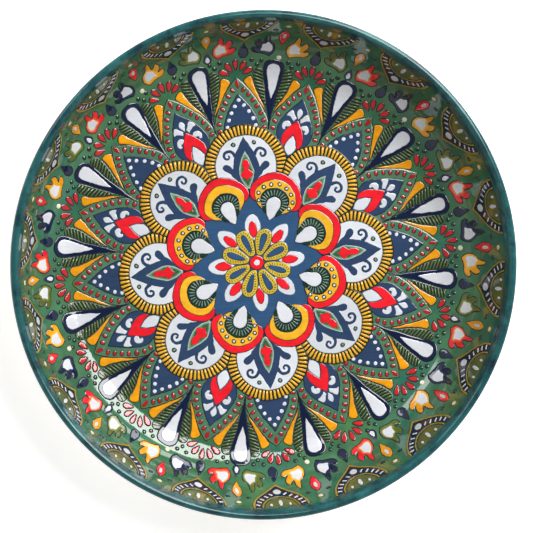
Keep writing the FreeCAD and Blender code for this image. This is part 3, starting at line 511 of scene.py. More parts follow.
BAND_NAVY = enamel("band_navy", (22, 40, 66), (32, 54, 84), specular=0.35)
FIELD_OLIVE = enamel("field_olive", (96, 105, 55), (120, 124, 70), specular=0.35)
RINGED_WHITE = enamel("ringed_white", (226, 230, 234), (240, 240, 236), (46, 52, 28),
                      mottle=0.05, streak=0.04)


def ground_finish():
    """The ground glaze: deep blue-green under the flower, washed green round it, in brushed passes."""
    n = Nodes("ground_glaze_brushed")
    radius, _ = n.radius()
    cloud = n.ramp(n.noise(38.0, 4.0, 0.6, warp=0.6), 0.34, 0.66)
    wash = n.mix(cloud, rgb(52, 104, 74), rgb(78, 128, 80))
    teal = n.mix(n.ramp(n.noise(22.0, 3.0, 0.6), 0.46, 0.72), wash, rgb(48, 112, 96))
    brushed = n.value(teal, n.ramp(n.noise(150.0, 5.0, 0.65), 0.3, 0.7, 0.78, 1.18))
    deep = n.mix(n.ramp(n.noise(120.0, 3.0), 0.35, 0.65), rgb(24, 44, 50), rgb(34, 56, 62))
    shade = n.mix(n.ramp(radius, *FLOWER_EDGE), deep, brushed)
    rim = n.ramp(radius, *WALL_TOP)
    shade = n.mix(rim, shade, n.value(shade, n.ramp(n.noise(80.0), 0.3, 0.7, 0.6, 0.8)))
    n.bump(n.math("ADD", n.noise(60.0, 2.0), n.math("MULTIPLY", n.noise(420.0, 3.0), 0.3)), 0.3, 0.0003)
    return n.done(shade, 0.07, GLAZE_IOR)


def band_finish():
    """Teal over the lip, mottled, and darker towards its lower edges."""
    n = Nodes("lip_band_teal")
    radius, height = n.radius()
    cloud = n.ramp(n.noise(70.0, 4.0, 0.6, warp=0.4), 0.36, 0.64)
    base = n.mix(cloud, rgb(20, 70, 75), rgb(45, 105, 105))
    base = n.mix(n.ramp(n.noise(160.0, 4.0, 0.7), 0.5, 0.74), base, rgb(20, 42, 52))
    low = n.ramp(height, *BAND_FOOT, 0.5, 1.0)
    shade = n.value(base, n.math("MULTIPLY", low, n.ramp(n.noise(420.0, 3.0), 0.3, 0.7, 0.88, 1.1)))
    n.bump(n.noise(90.0, 3.0), 0.3, 0.0003)
    return n.done(shade, 0.09)


def outside_finish():
    """Pale glaze of the underside: warm white, fine specks, a green blush under the teal band."""
    n = Nodes("outer_glaze_white")
    _, height = n.radius()
    shade = n.mix(n.ramp(n.noise(30.0, 3.0), 0.35, 0.65), rgb(196, 190, 172), rgb(210, 205, 190))
    specks = n.ramp(n.noise(1500.0, 2.0, 0.4), 0.70, 0.76)
    shade = n.mix(n.math("MULTIPLY", specks, 0.5), shade, rgb(128, 98, 64))
    blush = n.math("ADD", height, n.ramp(n.noise(45.0, 3.0), 0.3, 0.7, -0.0022, 0.0022))
    shade = n.mix(n.ramp(blush, *BLUSH, 0.0, 0.75), shade, rgb(112, 156, 142))
    n.bump(n.math("ADD", n.noise(40.0, 2.0), n.math("MULTIPLY", n.noise(500.0, 3.0), 0.25)), 0.35, 0.0003)
    return n.done(shade, 0.12)


def clay_finish():
    """Bare fired clay on the foot ring, buff and gritty."""
    n = Nodes("bare_clay")
    shade = n.mix(n.ramp(n.noise(120.0, 5.0, 0.6), 0.3, 0.7), rgb(178, 142, 104), rgb(200, 168, 130))
    grit = n.ramp(n.noise(1700.0, 2.0, 0.5), 0.62, 0.72)
    shade = n.mix(n.math("MULTIPLY", grit, 0.6), shade, rgb(120, 80, 54))
    n.bump(n.noise(1300.0, 4.0, 0.7), 0.5, 0.0002)
    return n.done(shade, 0.78)


# --- The dish: turned pieces, finer than the design's
def arc_run(x, z, radius, start, end, count):
    """Points (radius, height) along an arc, its angles in radians from +X towards +Z."""
    return [(x + radius * math.cos(start + (end - start) * k / count),
             z + radius * math.sin(start + (end - start) * k / count)) for k in range(count + 1)]


def line_run(a, b, count):
    return [(a[0] + (b[0] - a[0]) * k / count, a[1] + (b[1] - a[1]) * k / count)
            for k in range(count + 1)]


def turned(name, profile, material, segments):
    """Closed profile turned round the plate's axis. Points that repeat where runs meet are dropped."""
    profile = [point for index, point in enumerate(profile)
               if math.dist(point, profile[index - 1]) > SAME_POINT]
    spots, faces = [], []
    angles = np.arange(segments) * 2 * math.pi / segments
    rows = []
    for radius, height in profile:
        rows.append((len(spots), radius > ON_AXIS))
        if radius <= ON_AXIS:
            spots.append((0.0, 0.0, height * TOP_TRIM * MM))
            continue
        reach = radius * TRIM * MM
        for x, y in zip(reach * np.cos(angles), reach * np.sin(angles)):
            spots.append((x, y, height * TOP_TRIM * MM))
    ahead = np.roll(np.arange(segments), -1)
    for (a, a_ring), (b, b_ring) in zip(rows, rows[1:] + rows[:1]):
        if a_ring and b_ring:
            k = np.arange(segments)
            faces.append(np.column_stack((a + k, a + ahead, b + ahead)))
            faces.append(np.column_stack((a + k, b + ahead, b + k)))
        elif a_ring:
            faces.append(np.column_stack((a + np.arange(segments), a + ahead, np.full(segments, b))))
        elif b_ring:
            faces.append(np.column_stack((np.full(segments, a), b + ahead, b + np.arange(segments))))
    faces = np.vstack(faces)
    new_piece(name + "_turned", name, np.array(spots), faces, np.zeros(len(faces)),
              [material], {})


def ground_piece():
    """The ground glaze: its top follows the same dips as the enamel laid on it."""
    segments = 360
    floor_arcs = np.arange(0.5, FLOOR_EDGE - 2, 1.6)
    wall_arcs = np.arange(FLOOR_EDGE - 1.8, BAND_ARC, 0.55)
    arcs = np.concatenate((floor_arcs, wall_arcs, [BAND_ARC]))
    angles = np.arange(segments) * 2 * math.pi / segments
    top = [spot(np.full(segments, arc), angles, 0.0) for arc in arcs]
    under = [spot(np.full(segments, arc), angles, -GLAZE + 0.1) for arc in arcs[::-1][::4]]
    rows = top + under
    middles = [(0, 0, (FLOOR_TOP - 0.06) * TOP_TRIM * MM), (0, 0, (FLOOR_TOP - GLAZE) * MM)]
    points = np.vstack(rows + [middles])
    k = np.arange(segments)
    ahead = np.roll(k, -1)
    faces = [np.column_stack((k, ahead, np.full(segments, len(points) - 2)))[:, [2, 0, 1]]]
    for row in range(len(rows) - 1):
        a, b = row * segments, (row + 1) * segments
        faces.append(np.column_stack((a + k, b + k, b + ahead)))
        faces.append(np.column_stack((a + k, b + ahead, a + ahead)))
    last = (len(rows) - 1) * segments
    faces.append(np.column_stack((last + k, np.full(segments, len(points) - 1), last + ahead)))
    faces = np.vstack(faces)
    new_piece("ground_glaze_turned", "ground_glaze", points, faces,
              np.zeros(len(faces)), [ground_finish()], {})


def wall_point(arc_past_lip, depth, outside):
    """Point of the straight wall below where the lip's curve starts, depth under the surface."""
    side = 1 if outside else -1
    radius = LIP - depth
    return (LIP_X + side * radius * math.sin(SLOPE) - arc_past_lip * math.cos(SLOPE),
            LIP_Z - side * radius * math.cos(SLOPE) - arc_past_lip * math.sin(SLOPE))


ground_piece()
OUT_TURN, IN_TURN = SLOPE - math.pi / 2, SLOPE + math.pi / 2
turned("lip_band",
       line_run(wall_point(BAND_OUTSIDE + 0.4, 0.03, True), wall_point(0, 0, True), 12)
       + arc_run(LIP_X, LIP_Z, LIP, OUT_TURN, IN_TURN, 26)
       + line_run(wall_point(0, 0, False), wall_point(BAND_INSIDE, 0.0, False), 8)
       + [wall_point(BAND_INSIDE + 0.35, 0.05, False), wall_point(BAND_INSIDE + 0.45, 0.14, False)]
       + arc_run(LIP_X, LIP_Z, LIP - 0.2, IN_TURN, OUT_TURN, 10)
       + [wall_point(BAND_OUTSIDE + 0.4, 0.2, True)],
       band_finish(), 390)
UNDER = FLOOR_TOP - WALL
turned("outer_glaze",
       [(FOOT_OUT + 0.02, FOOT_BARE + 0.1), (FOOT_OUT + 0.16, FOOT_BARE),
        (FOOT_OUT + GLAZE, FOOT_BARE + 0.25)]
       + line_run((FOOT_OUT + GLAZE, FOOT_BARE + 0.5), (FOOT_OUT + GLAZE, UNDER - 0.5), 3)
       + arc_run(FOOT_OUT + GLAZE + 0.5, UNDER - 0.5, 0.5, math.pi, math.pi / 2, 5)
       + line_run((FOOT_OUT + 1.2, UNDER), (FLOOR_EDGE, UNDER), 8)
       + arc_run(FLOOR_EDGE, CORNER_Z, CORNER + WALL, -math.pi / 2, SLOPE - math.pi / 2, 36)
       + line_run(wall_point(14, 0, True), wall_point(BAND_OUTSIDE - 0.2, 0, True), 4)
       + [wall_point(BAND_OUTSIDE - 0.2, 0.28, True)]
       + arc_run(FLOOR_EDGE, CORNER_Z, CORNER + WALL - 0.28, SLOPE - math.pi / 2, -math.pi / 2, 14)
       + [(FOOT_OUT + 0.02, UNDER + 0.28)],
       outside_finish(), 360)
turned("foot_well_glaze",
       [(0.0, UNDER)] + line_run((4.0, UNDER), (FOOT_IN - 1.0, UNDER), 10)
       + arc_run(FOOT_IN - 1.0, UNDER - 0.98, 0.98, math.pi / 2, 0.0, 14)
       + [(FOOT_IN - 0.02, UNDER + 0.28), (0.0, UNDER + 0.28)],
       outside_finish(), 300)
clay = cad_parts["clay_dish"]
clay.data.materials.clear()
clay.data.materials.append(clay_finish())
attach(clay, "root")

# --- Flower in the middle
LOOP = mirrored([(0, 3.2, SHARP), (1.2, 3.85), (2.05, 5.7), (2.7, 7.5), (3.2, 9.65), (3.05, 11.7),
    (2.3, 13.4), (1.2, 14.2), (0, 14.45)])
LOOP_MIDDLE = mirrored([(0, 4.3), (0.95, 5.2), (1.5, 6.9), (2.0, 8.6), (2.3, 10.3), (2.0, 12.2),
    (1.1, 13.3), (0, 13.6)])
LOOP_EYE = mirrored([(0, 5.0), (0.6, 5.7), (0.95, 7.6), (1.25, 9.8), (1.1, 11.6), (0.6, 12.5),
    (0, 12.75)])
PETAL = mirrored([(0, 9.2, SHARP), (0.9, 10.6), (2.2, 12.2), (3.0, 13.4), (3.2, 14.8), (2.95, 16.6),
    (2.3, 18.2), (1.25, 19.6), (0, 20.1)])
PETAL_OVAL = mirrored([(0, 10.6), (1.0, 11.5), (1.6, 13.0), (1.65, 14.3), (1.25, 15.9), (0.7, 16.8),
    (0, 17.15)])


def rungs(path, pitch, across, along, lean=0.0):
    """Short strokes across a closed path, one every pitch."""
    loop = trace(path, 0.1)
    step = np.linalg.norm(np.roll(loop, -1, axis=0) - loop, axis=1)
    total = step.sum()
    count = round(total / pitch)
    reached = np.concatenate(([0.0], np.cumsum(step)))
    marks = []
    for k in range(count):
        index = int(np.searchsorted(reached, (k + 0.5) * total / count)) - 1
        run = loop[(index + 1) % len(loop)] - loop[index - 1]
        marks.append(bar(loop[index][0], loop[index][1], across, along,
                         math.degrees(math.atan2(run[1], run[0])) + lean))
    return [Patch(mark, base=0.14, rise=0.015, line=0, insets=(0.12,), spacing=0.6) for mark in marks]


paint("star_field", "blue_enamel",
      (Patch(oval(0, 0, 27.0, 27.0, corners=24), base=0.012, rise=0.02, line=0, pitch=1.6), BLUE,
       AT_MIDDLE))
paint("loop_petals", "yellow_enamel",
      (dab(LOOP, 0.095, line=0.24, rise=0.04, rounding=0.6), ROPE, AT_CRESCENTS),
      (rungs(LOOP_MIDDLE, 1.05, 0.17, 0.44, 25), ALMOND_GREEN, AT_CRESCENTS))
paint("loop_eyes", "blue_enamel", (dab(LOOP_EYE, 0.15, line=0.14, rise=0.02), BLUE, AT_CRESCENTS))
paint("white_petals", "white_enamel", (dab(PETAL, 0.045), PEARL, AT_PETALS))
paint("petal_ovals", "red_enamel", (dab(PETAL_OVAL, 0.09), RED, AT_PETALS))
paint("centre_boss", "red_enamel", (dab(oval(0, 0, 2.85, 2.85), 0.15, line=0.3), RED, AT_MIDDLE))
paint("centre_spot", "white_enamel",
      (Patch(oval(0, 0, 1.15, 1.15), base=0.185, line=0), WHITE, AT_MIDDLE))

# --- Crescents round the flower
CRESCENT_RED = mirrored([(0, 26.0, SHARP), (8.2, 24.55, SHARP), (9.6, 25.2), (10.6, 26.3),
    (11.0, 27.8), (10.9, 29.4), (9.9, 32.0), (7.6, 35.0), (4.0, 37.4), (0, 38.3)])
CRESCENT_YELLOW = mirrored([(0, 24.0, SHARP), (4.3, 22.15, SHARP), (5.8, 23.1), (7.3, 24.4),
    (8.3, 26.2), (8.7, 28.0), (8.2, 29.9), (6.8, 32.0), (4.0, 34.3), (0, 35.4)])
HALF_DISC = mirrored([(0, 20.2, SHARP), (2.4, 20.6, SHARP), (3.4, 21.3), (4.7, 23.4), (5.6, 25.4),
    (5.95, 27.3), (5.0, 29.6), (3.0, 31.2), (0, 32.0)])
CRESCENT_DROP = mirrored([(0, 18.2, SHARP), (0.8, 19.0), (1.65, 20.2), (2.2, 22.0), (2.65, 23.4),
    (2.95, 24.8), (2.55, 26.5), (1.5, 27.6), (0, 28.05)])
CRESCENT_DOTS = [(0, 33.7), (3.3, 32.7), (5.85, 30.8), (7.3, 27.9), (6.5, 25.1)]


def both(outline, **settings):
    return [Patch(shape, **settings) for shape in (outline, flipped(outline))]


def dots(spots, radius, base, rise=0.03, line=0.16):
    """Round dots, those off the middle on both sides of it."""
    return [Patch(oval(side * x, y, radius, radius), base=base, rise=rise, rounding=radius, line=line,
                  insets=(0.15, 0.4)) for x, y in spots for side in (1, -1) if x or side > 0]


def spokes(x, y, near, far, across, pitch, spread, base):
    """Strokes that stand out round a point."""
    marks = []
    for k in range(-int(spread / pitch), int(spread / pitch) + 1):
        mark = bar(0, (near + far) / 2, across, (far - near) / 2, taper=1.35)
        marks.append(Patch(moved(moved(mark, degrees=-k * pitch), x, y), base=base, rise=0.015, line=0,
                           insets=(0.12,), spacing=0.8))
    return marks


crescent = sliced(trace(CRESCENT_RED), HALF_STEP, 0.1)
paint("crescents_red", "red_enamel", (dab(crescent, 0.245, line=0.24), RED, AT_CRESCENTS))
yellow = dab(CRESCENT_YELLOW, 0.285, line=0.24)
paint("crescents_yellow", "yellow_enamel", (yellow, YELLOW, AT_PLAIN_CRESCENTS))
paint("crescents_dotted", "yellow_enamel", (yellow, YELLOW, AT_DOTTED_CRESCENTS))
paint("crescent_dots", "dark_green_enamel",
      (dots(CRESCENT_DOTS, 0.95, 0.32), DARK_GREEN, AT_DOTTED_CRESCENTS),
      (dots(CRESCENT_DOTS, 0.48, 0.36, 0.02, 0), WHITE, AT_DOTTED_CRESCENTS))
paint("crescent_hearts", "dark_green_enamel",
      (dab(HALF_DISC, 0.325, line=0.1, rise=0.02), DARK_GREEN, AT_CRESCENTS),
      (spokes(0, 25.4, 3.4, 5.7, 0.16, 14.5, 125, 0.35), SAGE, AT_CRESCENTS))
paint("crescent_drops", "white_enamel",
      (dab(CRESCENT_DROP, 0.365, line=0.12, rise=0.04, rounding=0.5), WHITE, AT_CRESCENTS))

# --- Medallions
MEDALLION = 40.2
OGIVE = mirrored([(0, 30.6, SHARP), (3.0, 33.4), (5.9, 36.0), (6.7, 37.2), (8.0, 38.1), (9.2, 38.9),
    (9.8, 39.9), (9.5, 40.9), (8.6, 41.4), (7.6, 41.3), (6.6, 40.6), (5.6, 39.3, SHARP), (5.1, 41.5),
    (4.6, 43.5), (3.8, 45.5), (2.6, 47.7), (1.2, 50.4), (0, 52.5, SHARP)])
SCROLL = [(3.9, 44.5), (4.6, 45.8), (5.7, 46.7), (7.1, 46.8), (8.3, 46.1), (8.7, 44.9), (8.1, 43.8),
    (7.0, 43.6), (6.5, 44.4), (6.9, 45.1)]
ALMOND = mirrored([(0, 30.7, SHARP), (1.2, 32.0), (2.2, 33.8), (2.85, 35.6), (3.15, 37.5), (2.9, 39.2),
    (2.2, 41.5), (1.2, 44.0), (0, 46.2, SHARP)])
FLEUR = mirrored([(0, 33.2, SHARP), (0.35, 34.6, SHARP), (0.9, 35.1), (1.8, 35.5), (2.5, 36.3),
    (2.45, 37.2), (1.8, 37.9), (1.15, 38.6), (1.3, 39.5), (1.4, 40.5), (1.25, 41.6), (0.75, 42.5),
    (0, 42.85)])
discs = [trace(oval(0, MEDALLION, size, size, corners=16)) for size in (17.0, 12.6)]
ring, field = (clip(sliced(disc, HALF_STEP, 0.12), 90, 30.8) for disc in discs)
DASH = [(-0.34, 12.95, SHARP), (0.34, 12.95, SHARP), (0.46, 16.7, SHARP), (-0.46, 16.7, SHARP)]
DASH_STEP = 6.1
dashes = []
for k in range(-20, 21):
    loop = trace(moved(moved(DASH, degrees=-DASH_STEP * k), 0, MEDALLION), 1.4)
    loop = sliced(loop, HALF_STEP, 0.3)
    if len(loop) > 2 and abs(area(loop)) > 0.8:
        dashes.append(Patch(loop, base=0.16, line=0, insets=(0.16,), pitch=9.0))
paint("medallion_rings", "yellow_enamel",
      (dab(ring, 0.14, line=0.2, rise=0.015, pitch=1.6), DARK_OLIVE, AT_PETALS),
      (dashes, YELLOW, AT_PETALS))
paint("medallion_fields", "white_enamel", (dab(field, 0.17, rise=0.02, pitch=1.6), PEARL, AT_PETALS))
paint("medallion_ogives", "navy_enamel",
      (Patch(OGIVE, base=0.193, rise=0.025, line=0.05, spacing=0.3), SLATE, AT_PETALS))
scrolls = both(stroke(SCROLL, 1.35, 0.8), base=0.193, rounding=0.5, line=0.05, spacing=0.25)
paint("medallion_scrolls", "navy_enamel", (scrolls, SLATE, AT_PETALS))


def pale_rim(points, depth):
    return 1 - np.clip((depth - 0.28) / 0.5, 0, 1)


almond = Patch(ALMOND, base=0.215, rise=0.02, line=0.05, shade=pale_rim, insets=(0.1, 0.28, 0.6),
               pitch=0.8)
paint("medallion_almonds", "green_enamel", (almond, ALMOND_GREEN, AT_PETALS))
paint("medallion_fleurs", "red_enamel",
      (dab(FLEUR, 0.24, line=0.08, rise=0.04, rounding=0.5), RED, AT_PETALS))
paint("medallion_dots", "green_enamel",
      (dots([(4.3, 49.4)], 1.0, 0.195), DARK_GREEN, AT_PETALS),
      (dots([(4.3, 49.4)], 0.5, 0.235, 0.02, 0), SAGE, AT_PETALS))

# --- Leaves and the ribbons round them
LEAF = mirrored([(0, 45.3, SHARP), (2.6, 47.4), (4.5, 49.6), (6.3, 52.1), (7.1, 54.3), (7.2, 56.6),
    (6.7, 58.7), (5.9, 60.8), (4.9, 62.9), (3.7, 64.9), (2.4, 66.7), (1.15, 68.4), (0, 70.1, SHARP)])
RIBBON = mirrored([(0, 45.3, SHARP), (9.0, 47.5, SHARP), (10.8, 52.0), (11.1, 56.0), (10.4, 60.0),
    (9.3, 63.0), (7.9, 66.0), (6.1, 69.1), (4.2, 71.9), (2.1, 74.4), (0, 76.4, SHARP)])
SEEDS = [(2.2, 71.5, 44), (4.1, 69.3, 42), (5.7, 66.7, 38), (7.1, 64.2, 33), (8.4, 61.3, 26),
    (9.1, 58.2, 14), (9.1, 55.2, 5)]
LEAF_DOTS = [(0, 67.4), (1.85, 65.0), (3.65, 62.3), (5.1, 59.4), (5.9, 56.5)]
CHEVRON = mirrored([(0, 55.1, SHARP), (1.2, 53.4), (2.1, 51.8), (2.7, 50.2), (3.15, 49.3, SHARP),
    (4.0, 50.3), (4.5, 51.7), (4.5, 53.3), (4.0, 55.0), (2.9, 57.1), (1.5, 59.2), (0, 61.0, SHARP)])
DIAMOND = mirrored([(0, 45.9, SHARP), (1.4, 47.3), (2.4, 49.2), (2.0, 51.0), (1.15, 52.9),
    (0, 54.5, SHARP)])
LEAF_PETAL = mirrored([(0, 61.5, SHARP), (0.5, 62.4), (1.2, 64.0), (0.85, 65.2), (0, 66.0, SHARP)])
SIDE_PETAL = [(0.75, 61.7, SHARP), (1.6, 62.6), (2.6, 64.0), (3.4, 64.4), (4.2, 63.6), (4.9, 62.3),
    (4.9, 61.7, SHARP), (3.7, 61.7), (2.5, 61.0), (1.4, 60.2, SHARP)]
CURL = [(2.1, 58.6), (2.7, 59.5), (3.9, 59.8), (5.1, 59.1), (5.7, 57.7), (5.3, 56.5), (4.6, 56.1),
    (3.95, 56.4), (4.2, 57.0), (3.9, 57.5), (3.3, 57.5), (2.7, 57.8)]


def gilt_rim(points, depth):
    return 1 - np.clip(np.abs(depth - 0.25) / 0.25, 0, 1)


ribbon = Patch(sliced(trace(RIBBON), QUARTER_STEP, 0.18), base=0.03, rise=0.05, rounding=0.8, line=0.28,
               shade=gilt_rim, insets=(0.1, 0.25, 0.5))
leaf = dab(LEAF, 0.09, line=0.3, rise=0.02)
# Each seed turns lighter red towards its middle, a painted highlight on the raised bead.
seeds = [dab(oval(side * x, y, 0.95, 0.62, side * degrees), 0.095, line=0.3, rise=0.08, rounding=0.4,
             insets=(0.12, 0.32), spacing=0.42, shade=lambda points, depth: depth / 0.6)
         for x, y, degrees in SEEDS for side in (1, -1)]
paint("leaf_ribbons", "green_enamel", (ribbon, LEAF_GREEN, AT_LEAVES))
paint("ribbon_seeds", "red_enamel", (seeds, DEEP_RED_PAINTED_HIGHLIGHT, AT_LEAVES))
paint("dotted_leaves", "navy_enamel", (leaf, SLATE, AT_PETALS))
paint("leaf_dots", "white_enamel", (dots(LEAF_DOTS, 0.78, 0.115, 0.06, 0), WHITE, AT_PETALS))
paint("fleur_leaves", "navy_enamel", (leaf, SLATE, AT_CRESCENTS))
paint("leaf_chevrons", "red_enamel", (dab(CHEVRON, 0.12), RED, AT_CRESCENTS))
paint("leaf_diamonds", "white_enamel", (dab(DIAMOND, 0.12, line=0.1), PEARL, AT_CRESCENTS))
petals = [dab(shape, 0.12, line=0.06, rise=0.05, spacing=0.3)
          for shape in (LEAF_PETAL, SIDE_PETAL, flipped(SIDE_PETAL), CURL, flipped(CURL))]
paint("leaf_petals", "white_enamel", (petals, PEARL, AT_CRESCENTS))

# --- Teardrops, hatched combs, flames, fans and beads, in relief
TEARDROP = mirrored([(0, 67.5, SHARP), (0.8, 70.0), (1.4, 72.0), (2.0, 75.0), (2.55, 77.5),
    (2.85, 79.6), (2.4, 81.4), (1.3, 82.3), (0, 82.6)])
SURROUND = mirrored([(0, 54.9, SHARP), (0.6, 61.0, SHARP), (1.2, 64.0), (1.9, 68.0), (2.6, 72.0),
    (3.5, 76.0), (4.3, 80.2), (3.8, 82.4), (2.2, 83.7), (0, 84.0)])
COMB = [(1.75, 64.9, SHARP), (3.1, 66.4), (4.5, 68.7), (6.0, 71.4), (7.1, 74.0), (7.9, 76.6),
    (8.1, 78.3), (7.4, 79.5), (6.0, 80.0), (4.75, 79.8, SHARP), (3.85, 76.0), (2.95, 72.0),
    (2.25, 68.0)]
FLAME = [(1.5, 62.4, SHARP), (2.9, 65.1), (4.5, 67.6), (6.3, 70.7), (7.5, 73.3), (8.3, 75.6),
    (9.1, 76.3), (10.1, 76.1), (11.3, 75.1), (11.8, 73.9, SHARP), (9.9, 71.9), (8.1, 70.1),
    (6.4, 68.1), (4.1, 65.5)]
FAN_PETAL = mirrored([(0, -2.5, SHARP), (0.75, -1.0), (1.2, 0.8), (0.85, 2.1), (0, 2.6)])
FAN_HUB = mirrored([(0, 71.9, SHARP), (0.75, 73.6), (0.6, 75.0), (0, 75.6)])
FAN_MIDDLE, FAN_REACH = 76.6, 5.3
FAN_ANGLES = (-64, -33, 0, 33, 64)
BEADS = [(5.6, 83.2), (9.7, 83.1), (7.2, 81.3)]
RAISED = dict(rounding=0.35, line=0.28)


COMB_START, COMB_PITCH, COMB_LEAN = 62.9, 1.25, 14
bars = []
for side in (1, -1):
    loop = trace(COMB if side > 0 else flipped(COMB))
    for k in range(11):
        low = COMB_START + COMB_PITCH * k
        strip = clip(loop, 90 + side * COMB_LEAN, low + 0.1)
        strip = clip(strip, 270 + side * COMB_LEAN, -low - 0.62)
        if len(strip) > 2:
            bars.append(Patch(strip, base=0.20, rise=0.05, line=0, insets=(0.14,), pitch=9.0))
paint("hatched_combs", "dark_green_enamel",
      (both(COMB, base=0.12, rise=0.06, line=0.2), DARK_GREEN, AT_TEARDROPS),
      (bars, BAR_GREEN, AT_TEARDROPS))
paint("teardrop_surrounds", "navy_enamel",
      (Patch(SURROUND, base=0.14, rise=0.08, **RAISED), NAVY, AT_TEARDROPS))
paint("white_teardrops", "white_enamel",
      (dab(TEARDROP, 0.23, line=0.1, rise=0.08, rounding=0.4), WHITE, AT_TEARDROPS))
paint("yellow_flames", "yellow_enamel",
      (both(FLAME, base=0.12, rise=0.12, **RAISED), AMBER, AT_TEARDROPS))
FAN_SHARE = 0.88
fans = []
for angle in FAN_ANGLES:
    lean = math.radians(angle)
    petal = [(FAN_SHARE * point[0], FAN_SHARE * point[1]) + tuple(point[2:]) for point in FAN_PETAL]
    petal = moved(petal, FAN_REACH * math.sin(lean), FAN_MIDDLE + FAN_REACH * math.cos(lean), -angle)
    # Each petal turns lighter red towards its middle, a painted highlight on the raised petal.
    fans.append(Patch(petal, base=0.12, rise=0.12, rounding=0.4, insets=(0.1, 0.3, 0.6), line=0.34,
                      shade=lambda points, depth: depth / 1.1))
tip_seed = Patch(FAN_HUB, base=0.12, rise=0.1, rounding=0.4, line=0.22)
paint("fan_petals", "red_enamel", (fans + [tip_seed], DEEP_RED_PAINTED_HIGHLIGHT, AT_LEAVES))
paint("garland_beads", "dark_green_enamel",
      (dots(BEADS, 0.72, 0.10, 0.24, 0.24), DARK_GREEN, AT_TEARDROPS))

# --- Border of lunettes and tulips
LUNETTE_EDGE = mirrored([(0, 95.4, SHARP), (4.7, 100.3), (8.3, 104.3), (10.7, 107.8), (12.1, 111.2),
    (12.6, 114.2, SHARP), (13.6, 114.2, SHARP), (13.1, 111.0), (11.6, 107.5), (9.1, 103.9),
    (5.2, 99.5), (0, 94.0, SHARP)])
LUNETTE_NAVY = mirrored([(0, 104.0), (2.8, 104.6), (5.8, 106.5), (8.7, 110.8), (9.6, 114.3, SHARP),
    (12.3, 114.3, SHARP), (11.8, 111.3), (10.4, 108.0), (8.0, 104.6), (4.4, 100.6), (0, 95.9, SHARP)])
LUNETTE_ARC = [(0, 104.9), (2.6, 105.5), (5.2, 107.2), (7.9, 111.0), (8.9, 114.1)]
LUNETTE_FIELD = mirrored([(0, 105.7), (2.2, 106.2), (4.6, 107.9), (7.0, 111.3), (7.9, 114.3, SHARP),
    (0, 114.6)])
LUNETTE_OVALS = [(0, 100.4, 1.8, 2.2), (0, 110.9, 0.95, 2.8), (4.4, 112.3, 0.7, 1.2),
    (-4.4, 112.3, 0.7, 1.2)]
LUNETTE_BARS = [(3.3, 102.5, 41), (5.6, 104.5, 43), (7.8, 106.7, 48), (9.5, 108.9, 58),
    (10.8, 111.6, 66)]
FINIAL = mirrored([(0, 85.1), (1.3, 85.7), (1.9, 87.2), (1.4, 89.0), (0.7, 90.7), (0, 92.6, SHARP)])
TULIP = [(-10.9, 85.2, SHARP), (-12.3, 86.5), (-13.0, 88.2), (-13.0, 90.0), (-12.3, 91.7),
    (-11.4, 93.1), (-11.0, 95.0), (-11.0, 97.0), (-10.8, 99.1, SHARP), (-9.9, 98.0), (-9.3, 96.4),
    (-9.0, 94.8), (-8.8, 93.5), (-8.2, 92.6, SHARP), (-7.5, 93.3), (-6.9, 94.6), (-6.2, 95.1),
    (-5.4, 94.3), (-5.0, 93.0), (-5.3, 91.5), (-5.9, 90.4), (-6.1, 89.6, SHARP), (-5.2, 89.8),
    (-4.5, 90.3), (-3.6, 90.0, SHARP), (-3.5, 89.0), (-4.1, 87.9), (-5.3, 87.1), (-7.0, 86.8),
    (-9.0, 86.2)]
HEART = [(-12.0, 88.0), (-12.1, 90.1), (-11.3, 92.0), (-10.4, 93.0), (-9.4, 92.1), (-8.1, 91.5),
    (-7.7, 89.6), (-7.2, 88.4), (-9.0, 87.8), (-10.9, 87.2)]
DROP = mirrored([(0, 92.2, SHARP), (0.9, 94.4), (1.8, 97.1), (2.1, 99.7), (1.7, 102.2), (0.9, 104.0),
    (0, 104.7)])
SMALL_DROP = mirrored([(0, 84.8), (0.7, 85.3), (0.9, 86.2), (0.6, 87.2), (0, 87.9)])
SMALL_SURROUND = mirrored([(0, 84.1), (1.2, 84.7), (1.65, 86.2), (1.2, 87.8), (0, 89.8, SHARP)])
BEADED = dict(base=0.12, rise=0.12, rounding=0.35, line=0.3)

paint("lunette_edges", "yellow_enamel",
      (Patch(LUNETTE_EDGE, base=0.18, rise=0.1, rounding=0.4, line=0.28, insets=(0.12, 0.3)), GOLD,
       AT_LUNETTES))
marks = []
for x, y, lean in LUNETTE_BARS:
    marks += both(bar(x, y, 0.42, 1.15, lean), base=0.25, rise=0.04, line=0, insets=(0.14,), spacing=0.5)
paint("lunette_bands", "navy_enamel",
      (Patch(LUNETTE_NAVY, base=0.16, rise=0.06, line=0.1), BAND_NAVY, AT_LUNETTES),
      (marks, WHITE, AT_LUNETTES))
arc_line = stroke([(-x, y) for x, y in reversed(LUNETTE_ARC[1:])] + LUNETTE_ARC, 0.75)
paint("lunette_arcs", "yellow_enamel",
      (Patch(arc_line, base=0.19, rise=0.09, rounding=0.35, line=0.26, insets=(0.12, 0.28)), GOLD,
       AT_LUNETTES))
paint("lunette_fields", "olive_enamel",
      (Patch(LUNETTE_FIELD, base=0.12, rise=0.06, line=0.1), FIELD_OLIVE, AT_LUNETTES))
paint("lunette_ovals", "white_enamel",
      ([Patch(oval(*numbers), base=0.26, rise=0.08, rounding=0.4, insets=(0.12, 0.35), line=0.45)
       for numbers in LUNETTE_OVALS], RINGED_WHITE, AT_LUNETTES))
paint("finial_drops", "navy_enamel", (Patch(FINIAL, **BEADED), NAVY, AT_LUNETTES))


def towards_heart(side):
    heart = trace(HEART if side > 0 else flipped(HEART), 0.6)

    def shade(points, depth):
        near = gap(points, [heart])
        return 1 - np.clip((near - 0.1) / 0.8, 0, 1)
    return shade


